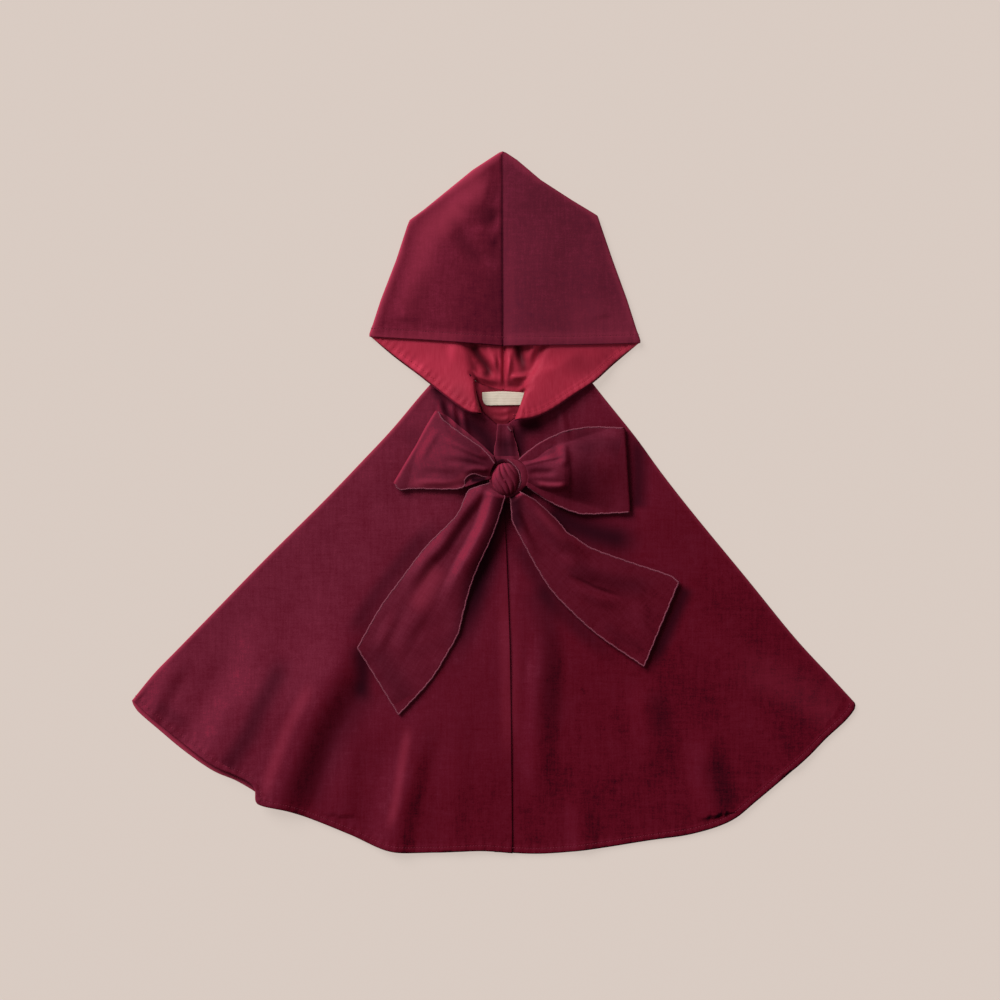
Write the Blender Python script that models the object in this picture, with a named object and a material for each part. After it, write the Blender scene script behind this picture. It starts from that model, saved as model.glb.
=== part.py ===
"""Child's hooded velvet cape, laid flat on its back with the ribbon bow tied.

X runs to the right, Y towards the tip of the hood and Z up from the surface that
the cape lies on. Left and right are as seen from above. Tables and sizes are in
millimetres, and each mesh is scaled to metres when it is made. Heights are those
of the underside of a cloth, so the next cloth lies one thickness and one gap up.
"""

import math
from collections import namedtuple

import bpy
from mathutils import Vector
from mathutils.geometry import delaunay_2d_cdt

MM = 0.001

# Cloth thicknesses and the clearance between cloths that are sewn or lie together
VELVET = 1.3
SATIN = 1.0
GAP = 0.3

# Mesh spacing of each kind of piece
BACK_SPACING = 42.0
FRONT_SPACING = 27.0
HOOD_SPACING = 16.0
RIBBON_SPACING = 10.5
TRIM_SPACING = 9.0
FOLD_STEPS = 5

# Share of the mesh spacing kept clear inside an outline, and how near two of an outline's
# points are when they count as one
EDGE_CLEAR = 0.55
MEETING = 0.2

# The cape is a flattened cone: its two sides run out from this point
CONE_X = 28.0
CONE_Y = 224.0

# A table's rows nearer than this to the ends of an edge are left out of its curve
KEY_ANGLE = 0.4
KEY_RADIUS = 8.0

# Fronts: how far they lap, and the angles and distances over which the lap comes and goes
FRONT_LAP = 20.0
LAP_RISE = VELVET + GAP
LAP_RISE_ANGLES = (-41.0, -18.0)
LAP_FALL_ANGLES = (6.0, 24.0)

# Height of the underside of each layer
FRONT_BASE = VELVET + GAP
FRONT_TOP = FRONT_BASE + VELVET
FACING_BASE = VELVET + GAP
LABEL_BASE = FACING_BASE + SATIN + GAP
RIBBON_BASE = FRONT_TOP + GAP
RIBBON_SLACK = 0.15
LAP_STEP = (4.0, 40.0)

# Share of its line over which a soft fold rises
FOLD_RISE = 0.55

# Hood: clear height inside, at its folds and at the middle of its mouth, and how it grows
# from the folds and from the tip
HOOD_FOLD_CLEAR = 0.5
HOOD_MOUTH_CLEAR = 14.0
HOOD_STACK = 2 * (VELVET + GAP + SATIN) + HOOD_FOLD_CLEAR
HOOD_FOLD_RADIUS = HOOD_STACK / 2
SEAM_HALF = GAP / 2
HOOD_PUFF_REACH = 95.0
HOOD_TIP_PUFF = 0.25

# Flaps: the slope up to the roll line, the ridge past it and the climb onto the fronts
ROLL_RAMP = 11.0
ROLL_RIDGE = 2.4
ROLL_RIDGE_PLACE = 7.0
ROLL_RIDGE_WIDTH = 8.0
ROLL_RIDGE_ENDS = (150.0, 186.0)
FLAP_SLACK = 0.2
FLAP_LIFT_NEAR = 15.0
FLAP_LIFT_FAR = 34.0

# Bow
KNOT_X = 17.0
KNOT_Y = 27.5
KNOT_HALF_WIDTH = 22.5
KNOT_HALF_LENGTH = 23.5
KNOT_HEIGHT = 22.0
KNOT_GAP = 0.45
KNOT_PLEATS = 6
KNOT_PLEAT_DEPTH = 0.9
KNOT_PLEAT_SLANT = 24.0
KNOT_SQUARENESS = 0.55
KNOT_ROUND_STEPS = 36
KNOT_RISE_STEPS = 8
LOOP_FOLD_CLEAR = 0.8

# The knot's arcs under which stretches of ribbon end: two angles in degrees and the steps.
LOOP_LEFT_SOLE_ARC = (192, 128, 3)
LOOP_LEFT_FOOT_ARC = (178, 136, 3)
LOOP_RIGHT_ARC = (50, -33, 5)
TAIL_LEFT_ARC = (258, 202, 3)
TAIL_RIGHT_ARC = (-47, -85, 2)
STRAND_ARC = (80, 122, 2)

Side = namedtuple("Side", "radius left right")
Hem = namedtuple("Hem", "angle front back")
Neck = namedtuple("Neck", "angle front back")
Fold = namedtuple("Fold", "line height width")
HoodSide = namedtuple("HoodSide", "name hand outline mouth flap roll neck_row")
Layer = namedtuple("Layer", "rest height lift")

# Angle of the cape's sides, from straight down and positive to the right
SIDES = [
    Side(104, -46.5, 41.5),
    Side(145, -45.6, 40.5),
    Side(200, -44.1, 40.0),
    Side(250, -43.9, 39.2),
    Side(310, -43.9, 39.0),
    Side(400, -44.2, 39.1),
    Side(480, -44.2, 39.1),
    Side(540, -44.2, 39.5),
    Side(575, -44.2, 39.7),
    Side(613, -43.9, 39.7),
]

# Radius of the hem of the fronts and of the back, from the cone's point
HEM = [
    Hem(-43.9, 613, 614),
    Hem(-42.8, 613, 618),
    Hem(-39.7, 613, 618),
    Hem(-36.5, 613, 619),
    Hem(-33.0, 613, 619),
    Hem(-30.5, 609, 615),
    Hem(-28.5, 610, 615),
    Hem(-27.6, 623, 616),
    Hem(-26.7, 624, 615),
    Hem(-24.3, 618, 612),
    Hem(-21.2, 616, 611),
    Hem(-17.5, 618, 612),
    Hem(-13.1, 624, 616),
    Hem(-8.5, 616, 611),
    Hem(-3.9, 609, 604),
    Hem(2.3, 611, 606),
    Hem(7.3, 611, 606),
    Hem(13.5, 613, 608),
    Hem(18.0, 619, 613),
    Hem(22.0, 620, 614),
    Hem(25.4, 611, 606),
    Hem(31.7, 597, 593),
    Hem(35.0, 590, 586),
    Hem(37.7, 587, 583),
    Hem(39.3, 583, 581),
    Hem(39.7, 578, 576),
]

# Radius of the neck edge of the fronts and of the back
NECK = [
    Neck(-46.5, 104, 103),
    Neck(-35.0, 106, 103),
    Neck(-24.5, 113, 103),
    Neck(-17.6, 131, 103),
    Neck(-8.0, 144, 103),
    Neck(-2.2, 133, 103),
    Neck(8.0, 126, 103),
    Neck(25.0, 112, 103),
    Neck(41.5, 106, 103),
]

# Edge of the left front, from the neck down to the hem
FRONT_EDGE = [(8, 81), (11, 30), (13, -20), (18, -152), (20, -280), (21, -384)]

# Hood outline from the tip down to the mouth corner, and the edge of its mouth
HOOD_TIP = (10.0, 386)
SEAM_FOOT_X = 11.5
SEAM_FOOT_Y = 123.0
OUTLINE_LEFT = [HOOD_TIP, (-23, 365), (-50, 343), (-77, 321), (-92, 310), (-95, 303),
                (-107, 266), (-124, 222), (-137, 182)]
OUTLINE_RIGHT = [HOOD_TIP, (26, 376), (52, 354), (86, 332), (114, 315), (118, 304),
                 (131, 266), (147, 222), (162, 175)]
MOUTH_LEFT = [(-137, 182), (-70, 177), (10.8, 171)]
MOUTH_RIGHT = [(162, 175), (90, 172), (10.8, 171)]
# Outer edge of each turned-out flap, from the mouth corner to the neck
FLAP_LEFT = [(-137, 182), (-111, 161), (-82, 139), (-70, 129.5), (-31, 100), (-13, 96)]
FLAP_RIGHT = [(162, 175), (132, 151), (111, 132), (87, 116), (63, 100), (43, 91.5), (23, 89)]
# Line along which each flap rolls over, from the neck up into the hood
ROLL_LEFT = [(-13, 96), (-18, 115), (-20.5, 133), (-25, 146), (-29, 166), (-42, 190)]
ROLL_RIGHT = [(23, 89), (30, 109), (34, 121.2), (40, 134), (47, 148), (54, 169), (64, 190)]
ROLL_NECK_ROW = 2
HOOD_SIDES = [
    HoodSide("left", -1, OUTLINE_LEFT, MOUTH_LEFT, FLAP_LEFT, ROLL_LEFT, ROLL_NECK_ROW),
    HoodSide("right", 1, OUTLINE_RIGHT, MOUTH_RIGHT, FLAP_RIGHT, ROLL_RIGHT, ROLL_NECK_ROW),
]

# Folds in the fronts: a ridge line, its height and its half width
LEFT_FRONT_FOLDS = [
    Fold([(-195, -182), (-235, -284), (-262, -352)], 7.0, 27.0),
    Fold([(-97, -255), (-106, -330), (-108, -400)], 6.0, 25.0),
]
RIGHT_FRONT_FOLDS = [
    Fold([(80, -215), (86, -300), (88, -400)], 3.0, 30.0),
]

# Bow loops: outer fold, then upper and lower edges from that fold to the knot
LOOP_LEFT_FOLD = [(-62, 100), (-109, 18.5)]
LOOP_LEFT_TOP = [(-62, 100), (-56, 90), (-40, 78), (-23, 66), (-12, 58), (-3, 48)]
LOOP_LEFT_BACK = [(-62, 100), (-50, 94), (-38, 84), (-16, 66), (-3, 54)]
LOOP_LEFT_FOOT = [(-109, 18.5), (-104, 14), (-85, 15), (-37, 15), (-31, 25), (-23, 31), (-11, 28)]
LOOP_LEFT_SOLE = [(-109, 18.5), (-104, 14), (-85, 15), (-37, 16), (-26, 18), (-12, 23)]
LOOP_RIGHT_FOLD = [(143, 82), (150, -12)]
LOOP_RIGHT_TOP = [(143, 82), (108, 82), (86, 79), (75, 76), (52, 65), (33, 51)]
LOOP_RIGHT_FOOT = [(150, -12), (103, -13), (86, -10), (63, 0), (42, 13.5)]
LOOP_LEFT_FOLDS = [
    Fold([(-12, 38), (-45, 48), (-80, 58)], 9.0, 26.0),
    Fold([(-14, 56), (-40, 72), (-60, 86)], 2.5, 16.0),
]
LOOP_RIGHT_FOLDS = [
    Fold([(36, 36), (66, 44), (92, 50)], 9.0, 24.0),
    Fold([(40, 18), (66, 18), (90, 20)], 5.0, 16.0),
]

# Bow tails: left and right edges from the knot to the cut end
TAIL_LEFT_OUTER = [(-9, 19), (-26, 13), (-32, 2), (-41, -16), (-68, -43), (-81, -58),
                   (-102, -86), (-124, -116), (-149, -160)]
TAIL_LEFT_INNER = [(-104, -233), (-70, -196), (-51, -166), (-39, -144), (-34, -124),
                   (-26, -94), (-17, -70), (-1, -35), (11, 1)]
TAIL_RIGHT_OUTER = [(203, -88), (191, -80), (149, -66), (108, -51), (91, -40), (80, -33),
                    (73, -24), (60, -11), (45, 2), (33, 8.5)]
TAIL_RIGHT_INNER = [(19, 1), (21, -20), (26, -31), (36, -50), (48, -72), (62, -94),
                    (79, -113), (114, -145), (165, -180)]
TAIL_LEFT_FOLDS = [
    Fold([(-10, 12), (-40, -26), (-70, -66)], 6.0, 13.0),
    Fold([(0, 2), (-26, -50), (-52, -98), (-60, -130)], 9.0, 18.0),
]
TAIL_RIGHT_FOLDS = [
    Fold([(29, 4), (60, -36), (100, -76), (130, -100)], 7.0, 22.0),
]

# Tie strand from the neck edge to the knot
STRAND_LEFT = [(4.6, 49), (4, 68), (5, 84)]
STRAND_RIGHT = [(22, 86), (23, 70), (22.5, 52.4)]
STRAND_FOLDS = [
    Fold([(5, 46), (5, 68), (6, 90)], 1.6, 7.0),
    Fold([(21, 46), (21, 68), (21, 90)], 2.0, 7.0),
]

# Neck facing and label
FACING_LEFT_ANGLE = -25.0
FACING_RIGHT_ANGLE = 5.0
FACING_INNER_RADIUS = 104.0
FACING_CLEAR = 2.5
FACING_STEPS = 6
LABEL_OUTLINE = [
    [(-12.5, 120.5), (-12, 112)],
    [(-12, 112), (-9, 107), (-4, 106)],
    [(-4, 106), (33, 106.5)],
    [(33, 106.5), (34.5, 120)],
    [(34.5, 120), (10, 121.5), (-12.5, 120.5)],
]

# Colours of the cloths, sRGB
VELVET_COLOUR = (0x64, 0x10, 0x23)
RIBBON_COLOUR = (0x6A, 0x14, 0x28)
SATIN_COLOUR = (0xA4, 0x24, 0x38)
LABEL_COLOUR = (0xE3, 0xDB, 0xCF)
VELVET_ROUGHNESS = 0.85
SATIN_ROUGHNESS = 0.4
TAPE_ROUGHNESS = 0.7


def smooth(low, high, value):
    """Soft step from 0 at low to 1 at high."""
    t = min(max((value - low) / (high - low), 0.0), 1.0)
    return t * t * (3.0 - 2.0 * t)


def column(rows, key, name, value):
    """Value of a table's column at a key, read between its rows."""
    for before, after in zip(rows, rows[1:]):
        if getattr(before, key) <= value <= getattr(after, key):
            span = getattr(after, key) - getattr(before, key)
            t = (value - getattr(before, key)) / span
            return (1 - t) * getattr(before, name) + t * getattr(after, name)
    edge = rows[0] if value < getattr(rows[0], key) else rows[-1]
    return getattr(edge, name)


def at_polar(angle, radius):
    """Point at an angle from straight down and a radius from the cone's point."""
    turn = math.radians(angle)
    return (CONE_X + radius * math.sin(turn), CONE_Y - radius * math.cos(turn))


def polar(x, y):
    """Angle from straight down and radius from the cone's point."""
    return math.degrees(math.atan2(x - CONE_X, CONE_Y - y)), math.hypot(x - CONE_X, y - CONE_Y)


def flowing(points, spacing):
    """Points about a spacing apart along a smooth curve through the given ones."""
    knots = [Vector(p) for p in points]
    knots = [2 * knots[0] - knots[1]] + knots + [2 * knots[-1] - knots[-2]]
    out = []
    for a, b, c, d in zip(knots, knots[1:], knots[2:], knots[3:]):
        steps = max(1, round((c - b).length / spacing))
        for i in range(steps):
            t = i / steps
            blend = (2 * b + (c - a) * t + (2 * a - 5 * b + 4 * c - d) * t * t
                     + (3 * b - a - 3 * c + d) * t ** 3)
            out.append(tuple(blend / 2))
    out.append(tuple(points[-1]))
    return out


def straight(start, finish, spacing):
    """Points about a spacing apart from one point to another."""
    steps = max(1, round(math.dist(start, finish) / spacing))
    return [tuple(Vector(start).lerp(Vector(finish), i / steps)) for i in range(steps + 1)]


def joined(*lines):
    """One closed outline from lines that follow each other."""
    outline = []
    for line in lines:
        for point in line:
            if not outline or math.dist(point, outline[-1]) > MEETING:
                outline.append(tuple(point))
    if math.dist(outline[0], outline[-1]) < MEETING:
        outline.pop()
    return outline


def line_distance(line, x, y):
    """Distance to a line, the side of it (1 left, -1 right) and how far along it is, 0 to 1."""
    best = (1e9, 1, 0.0)
    count = len(line) - 1
    for i in range(count):
        ax, ay = line[i]
        dx, dy = line[i + 1][0] - ax, line[i + 1][1] - ay
        raw = ((x - ax) * dx + (y - ay) * dy) / (dx * dx + dy * dy)
        t = min(max(raw, 0.0), 1.0)
        away = math.hypot(x - ax - t * dx, y - ay - t * dy)
        if away < best[0]:
            side = 1 if dx * (y - ay) - dy * (x - ax) > 0 else -1
            best = (away, side, (i + t) / count)
    return best


def ridges(folds, x, y):
    """Added height of soft folds, which rise from one end of each line to the other."""
    height = 0.0
    for fold in folds:
        away, _, along = line_distance(fold.line, x, y)
        across = 0.5 + 0.5 * math.cos(math.pi * min(away / fold.width, 1.0))
        height += fold.height * across * smooth(0.0, FOLD_RISE, along)
    return height


def signed_area(outline):
    """Area inside an outline, positive when it turns anticlockwise."""
    return 0.5 * sum(a[0] * b[1] - b[0] * a[1] for a, b in zip(outline, outline[1:] + outline[:1]))


def inside(outline, x, y):
    """Whether a point is inside an outline."""
    crossings = 0
    for (ax, ay), (bx, by) in zip(outline, outline[1:] + outline[:1]):
        if (ay > y) != (by > y) and x < ax + (y - ay) * (bx - ax) / (by - ay):
            crossings += 1
    return crossings % 2 == 1


def fill(outline, spacing):
    """Points and triangles that fill an outline, its own points first."""
    points = list(outline)
    closed = outline + outline[:1]
    xs = [p[0] for p in outline]
    ys = [p[1] for p in outline]
    row_height = spacing * math.sqrt(3) / 2
    for j in range(int((max(ys) - min(ys)) / row_height) + 1):
        y = min(ys) + (j + 0.5) * row_height
        for i in range(int((max(xs) - min(xs)) / spacing) + 1):
            x = min(xs) + (i + 0.25 + 0.5 * (j % 2)) * spacing
            if inside(outline, x, y) and line_distance(closed, x, y)[0] > EDGE_CLEAR * spacing:
                points.append((x, y))
    count = len(outline)
    edges = [(i, (i + 1) % count) for i in range(count)]
    made, _, faces, origins, _, _ = delaunay_2d_cdt([Vector(p) for p in points], edges, [], 1, 1e-5)
    index = [origin[0] for origin in origins]
    triangles = []
    for face in faces:
        a, b, c = (index[i] for i in face)
        if signed_area([points[a], points[b], points[c]]) < 0:
            a, b = b, a
        triangles.append((a, b, c))
    return points, triangles


def material(name, colour, roughness):
    """Matt or glossy cloth of one colour."""
    made = bpy.data.materials.new(name)
    made.use_nodes = True
    shader = made.node_tree.nodes["Principled BSDF"]
    linear = [((c / 255 + 0.055) / 1.055) ** 2.4 for c in colour]
    shader.inputs["Base Color"].default_value = (*linear, 1.0)
    shader.inputs["Roughness"].default_value = roughness
    shader.inputs["Metallic"].default_value = 0.0
    return made


def add_object(name, vertices, faces, cloth):
    """A named object from points in millimetres."""
    mesh = bpy.data.meshes.new(name)
    mesh.from_pydata([Vector(v) * MM for v in vertices], [], faces)
    mesh.materials.append(cloth)
    mesh.shade_smooth()
    obj = bpy.data.objects.new(name, mesh)
    bpy.context.collection.objects.link(obj)
    return obj


def two_faces(points, triangles, height, lift, thickness, first):
    """Vertices and faces of a cloth's underside and upper side, numbered from first."""
    count = len(points)
    low = [(x, y, height(x, y) + lift) for x, y in points]
    high = [(x, y, z + thickness) for x, y, z in low]
    faces = [(first + c, first + b, first + a) for a, b, c in triangles]
    faces += [tuple(first + count + i for i in triangle) for triangle in triangles]
    return low + high, faces


def edge_wall(a, b, count, first):
    """Wall of a cloth's edge between outline points a and b."""
    return (first + a, first + b, first + count + b, first + count + a)


def add_sheet(name, outline, spacing, height, thickness, cloth):
    """A single cloth: a filled outline at the height of its underside, with a thickness."""
    if signed_area(outline) < 0:
        outline = outline[::-1]
    points, triangles = fill(outline, spacing)
    vertices, faces = two_faces(points, triangles, height, 0.0, thickness, 0)
    around = len(outline)
    faces += [edge_wall(i, (i + 1) % around, len(points), 0) for i in range(around)]
    return add_object(name, vertices, faces, cloth)


def outward(fold, ends):
    """Unit directions away from the cloth along a fold whose cloth lies to its left."""
    directions = []
    for i in range(len(fold)):
        before = Vector(fold[max(i - 1, 0)])
        after = Vector(fold[min(i + 1, len(fold) - 1)])
        along = (after - before).normalized()
        directions.append(Vector((along.y, -along.x)))
    for i, direction in ends.items():
        directions[i] = Vector(direction).normalized()
    return directions


def add_folded(name, fold, layers, spacing, thickness, cloth, ends):
    """A cloth folded over on itself, from its lower and upper layers.

    The fold's points start both outlines, with the cloth to their left, and the rest
    of each outline follows them. Half-round strips join the two layers at the fold.
    """
    count = len(fold)
    vertices = []
    faces = []
    starts = []
    for layer in layers:
        outline = joined(fold, layer.rest)
        points, triangles = fill(outline, spacing)
        first = len(vertices)
        more, more_faces = two_faces(points, triangles, layer.height, layer.lift, thickness, first)
        vertices += more
        faces += more_faces
        around = len(outline)
        walls = range(count - 1, around)
        faces += [edge_wall(i, (i + 1) % around, len(points), first) for i in walls]
        starts.append((first, first + len(points)))
    (low_under, low_over), (high_under, high_over) = starts
    directions = outward(fold, ends)
    strips = []
    for start, finish in ((low_under, high_over), (low_over, high_under)):
        rows = []
        for i, (x, y) in enumerate(fold):
            bottom = vertices[start + i][2]
            top = vertices[finish + i][2]
            radius = (top - bottom) / 2
            row = [start + i]
            for step in range(1, FOLD_STEPS):
                turn = math.pi * step / FOLD_STEPS
                reach = radius * math.sin(turn)
                height = (bottom + top) / 2 - radius * math.cos(turn)
                row.append(len(vertices))
                vertices.append((x + directions[i].x * reach, y + directions[i].y * reach, height))
            row.append(finish + i)
            rows.append(row)
        strips.append(rows)
    outer, inner = strips
    for k in range(FOLD_STEPS):
        for i in range(count - 1):
            faces.append((outer[i][k], outer[i + 1][k], outer[i + 1][k + 1], outer[i][k + 1]))
            faces.append((inner[i][k], inner[i][k + 1], inner[i + 1][k + 1], inner[i + 1][k]))
        faces.append((outer[0][k], outer[0][k + 1], inner[0][k + 1], inner[0][k]))
        faces.append((outer[-1][k], inner[-1][k], inner[-1][k + 1], outer[-1][k + 1]))
    return add_object(name, vertices, faces, cloth)


# Heights

def lap_rise(x, y):
    """Extra height where the fronts lap, which comes and goes gently to either side."""
    angle, _ = polar(x, y)
    return LAP_RISE * (smooth(*LAP_RISE_ANGLES, angle) - smooth(*LAP_FALL_ANGLES, angle))


def left_front_height(x, y):
    """Underside of the left front, which rises gently to lap over the right one."""
    return FRONT_BASE + lap_rise(x, y) + ridges(LEFT_FRONT_FOLDS, x, y)


def right_front_height(x, y):
    """Underside of the right front."""
    return FRONT_BASE + ridges(RIGHT_FRONT_FOLDS, x, y)


def front_edge_x(y):
    """X of the left front's edge at a height on the cape."""
    for (ax, ay), (bx, by) in zip(FRONT_EDGE, FRONT_EDGE[1:]):
        if by <= y <= ay:
            return ax + (bx - ax) * (y - ay) / (by - ay)
    return FRONT_EDGE[0][0] if y > FRONT_EDGE[0][1] else FRONT_EDGE[-1][0]


def ribbon_height(x, y):
    """Underside of a ribbon that lies on the fronts and steps down off the lap."""
    step = 1.0 - smooth(*LAP_STEP, x - front_edge_x(y))
    return RIBBON_BASE + RIBBON_SLACK + min(lap_rise(x, y), LAP_RISE * step)


def roll_x(roll, y):
    """X of a flap's roll line at a height on the cape."""
    for (ax, ay), (bx, by) in zip(roll, roll[1:]):
        if ay <= y <= by:
            return ax + (bx - ax) * (y - ay) / (by - ay)
    return roll[0][0] if y < roll[0][1] else roll[-1][0]


def hood_lower_height(x, y, side):
    """Underside of the hood's lower layer, which climbs onto the cape beside the neck."""
    angle, radius = polar(x, y)
    left_side = radius * math.sin(min(math.radians(angle - SIDES[0].left), math.pi / 2))
    right_side = radius * math.sin(min(math.radians(SIDES[0].right - angle), math.pi / 2))
    depth = min(radius - FACING_INNER_RADIUS, left_side, right_side)
    lift = smooth(-FLAP_LIFT_FAR, -FLAP_LIFT_NEAR, depth)
    past_roll = side.hand * (x - roll_x(side.roll, y))
    turned = smooth(-ROLL_RAMP, 0.0, past_roll)
    base = FRONT_TOP + GAP + FLAP_SLACK + lap_rise(x, y)
    inside_hood = 1.0 - smooth(*ROLL_RIDGE_ENDS, y)
    from_ridge = (past_roll - ROLL_RIDGE_PLACE) / ROLL_RIDGE_WIDTH
    ridge = ROLL_RIDGE * math.exp(-from_ridge**2) * inside_hood
    return turned * lift * base + ridge * turned


def hood_clear(x, y, outline):
    """Clear height inside the hood: none at its folds, most at the middle of its mouth."""
    from_fold = line_distance(outline, x, y)[0]
    tip_y = HOOD_TIP[1]
    mouth_y = MOUTH_LEFT[-1][1]
    along = smooth(0.0, 1.0, (tip_y - y) / (tip_y - mouth_y))
    across = math.sin(0.5 * math.pi * min(from_fold / HOOD_PUFF_REACH, 1.0))
    puff = across * (HOOD_TIP_PUFF + (1.0 - HOOD_TIP_PUFF) * along)
    return HOOD_FOLD_CLEAR + (HOOD_MOUTH_CLEAR - HOOD_FOLD_CLEAR) * puff


def seam_x(y):
    """X of the hood's middle seam."""
    t = (HOOD_TIP[1] - y) / (HOOD_TIP[1] - SEAM_FOOT_Y)
    return HOOD_TIP[0] + (SEAM_FOOT_X - HOOD_TIP[0]) * t


def inset(outline, distance, hand):
    """The outline of one side of the hood, moved in towards the middle of the hood."""
    directions = outward(outline, {})
    return [(x - hand * d.x * distance, y - hand * d.y * distance)
            for (x, y), d in zip(outline, directions)]


# Pieces

def polar_line(rows, name, low, high, spacing):
    """Smooth line at the radii of a table's column between two angles."""
    keys = [row.angle for row in rows if low + KEY_ANGLE < row.angle < high - KEY_ANGLE]
    points = [at_polar(a, column(rows, "angle", name, a)) for a in [low] + keys + [high]]
    return flowing(points, spacing)


def side_line(name, inner, outer, spacing):
    """Line down one side of the cape between two radii."""
    keys = [row.radius for row in SIDES if inner + KEY_RADIUS < row.radius < outer - KEY_RADIUS]
    points = [at_polar(column(SIDES, "radius", name, r), r) for r in [inner] + keys + [outer]]
    return flowing(points, spacing)


def build_cape(velvet):
    """The back and the two fronts."""
    left, right = HEM[0].angle, HEM[-1].angle
    neck_left, neck_right = NECK[0].angle, NECK[-1].angle
    back = joined(
        polar_line(NECK, "back", neck_left, neck_right, BACK_SPACING),
        side_line("right", NECK[-1].back, HEM[-1].back, BACK_SPACING),
        polar_line(HEM, "back", left, right, BACK_SPACING)[::-1],
        side_line("left", NECK[0].back, HEM[0].back, BACK_SPACING)[::-1],
    )
    add_sheet("cape_back", back, BACK_SPACING, lambda x, y: 0.0, VELVET, velvet)

    edge_top = polar(*FRONT_EDGE[0])[0]
    edge_foot = polar(*FRONT_EDGE[-1])[0]
    front = joined(
        side_line("left", NECK[0].front, HEM[0].front, FRONT_SPACING),
        polar_line(HEM, "front", left, edge_foot, FRONT_SPACING),
        flowing(FRONT_EDGE, FRONT_SPACING)[::-1],
        polar_line(NECK, "front", neck_left, edge_top, FRONT_SPACING)[::-1],
    )
    add_sheet("front_left", front, FRONT_SPACING, left_front_height, VELVET, velvet)

    under_edge = [(x - FRONT_LAP, y) for x, y in FRONT_EDGE]
    under_top = polar(*under_edge[0])[0]
    under_foot = polar(*under_edge[-1])[0]
    front = joined(
        polar_line(NECK, "front", under_top, neck_right, FRONT_SPACING),
        side_line("right", NECK[-1].front, HEM[-1].front, FRONT_SPACING),
        polar_line(HEM, "front", under_foot, right, FRONT_SPACING)[::-1],
        flowing(under_edge, FRONT_SPACING)[::-1],
    )
    add_sheet("front_right", front, FRONT_SPACING, right_front_height, VELVET, velvet)


def hood_fold(side):
    """Points of the fold line of one side of the hood, from the tip to the mouth corner."""
    corners = inset(side.outline, HOOD_FOLD_RADIUS, -side.hand)
    corners[0] = (seam_x(HOOD_TIP[1]) + side.hand * SEAM_HALF, HOOD_TIP[1] - HOOD_FOLD_RADIUS)
    return joined(*[straight(a, b, HOOD_SPACING) for a, b in zip(corners, corners[1:])])


def hood_layers(side, fold):
    """Rest of the outlines of a side's lower and upper layers, from the mouth corner to the tip."""
    past_seam = side.hand * SEAM_HALF
    mouth_x, mouth_y = side.mouth[-1]
    seam_top = (mouth_x + past_seam, mouth_y)
    neck_start = polar(*side.roll[side.neck_row])[0]
    neck_end = polar(SEAM_FOOT_X + past_seam, SEAM_FOOT_Y)[0]
    radius = NECK[0].back - GAP
    neck = [at_polar(neck_start + (neck_end - neck_start) * i / 3, radius) for i in range(4)]
    lower = joined(
        flowing(fold[-1:] + side.flap[1:], HOOD_SPACING),
        flowing(side.roll[:side.neck_row + 1], HOOD_SPACING),
        neck,
        straight(neck[-1], fold[0], HOOD_SPACING),
    )
    upper = joined(
        flowing(fold[-1:] + side.mouth[1:-1] + [seam_top], HOOD_SPACING),
        straight(seam_top, fold[0], HOOD_SPACING),
    )
    return lower, upper


def build_hood(velvet, satin):
    """The two velvet sides of the hood and their linings, folded once along the outline."""
    for side in HOOD_SIDES:
        fold = hood_fold(side)
        lower, upper = hood_layers(side, fold)
        ends = {0: (0.0, 1.0)}
        outline = list(fold)
        if side.hand > 0:
            fold, lower, upper = fold[::-1], lower[::-1], upper[::-1]
            ends = {len(fold) - 1: (0.0, 1.0)}

        def lower_height(x, y, side=side):
            return hood_lower_height(x, y, side)

        def upper_height(x, y, outline=outline):
            return VELVET + GAP + SATIN + hood_clear(x, y, outline)

        for name, cloth, thickness, lifts in (
            ("hood_", velvet, VELVET, (0.0, SATIN + GAP)),
            ("hood_lining_", satin, SATIN, (VELVET + GAP, 0.0)),
        ):
            layers = (Layer(lower, lower_height, lifts[0]), Layer(upper, upper_height, lifts[1]))
            add_folded(name + side.name, fold, layers, HOOD_SPACING, thickness, cloth, ends)


def build_neck(satin, tape):
    """The facing inside the back neck and the bare label on it."""
    step = (FACING_RIGHT_ANGLE - FACING_LEFT_ANGLE) / FACING_STEPS
    angles = [FACING_LEFT_ANGLE + step * i for i in range(FACING_STEPS + 1)]
    inner = [at_polar(a, FACING_INNER_RADIUS) for a in angles]
    outer = [at_polar(a, column(NECK, "angle", "front", a) - FACING_CLEAR) for a in angles]
    add_sheet("neck_facing", joined(outer, inner[::-1]), TRIM_SPACING,
              lambda x, y: FACING_BASE, SATIN, satin)
    label = joined(*[flowing(line, TRIM_SPACING) for line in LABEL_OUTLINE])
    add_sheet("label", label, TRIM_SPACING, lambda x, y: LABEL_BASE, SATIN, tape)


def knot_arc(start, finish, steps):
    """Points just outside the knot's foot between two angles in degrees."""
    points = []
    for i in range(steps + 1):
        turn = math.radians(start + (finish - start) * i / steps)
        points.append((KNOT_X + (KNOT_HALF_WIDTH + KNOT_GAP) * math.cos(turn),
                       KNOT_Y + (KNOT_HALF_LENGTH + KNOT_GAP) * math.sin(turn)))
    return points


def add_loop(name, fold, lower, upper, folds, cloth):
    """A loop of the bow: the ribbon folded over at its outer end, puffed towards the knot."""
    def front(x, y):
        return ribbon_height(x, y) + ridges(folds, x, y)

    layers = (Layer(lower, ribbon_height, 0.0), Layer(upper, front, VELVET + LOOP_FOLD_CLEAR))
    add_folded(name, flowing(fold, RIBBON_SPACING), layers, RIBBON_SPACING, VELVET, cloth, {})


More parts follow.
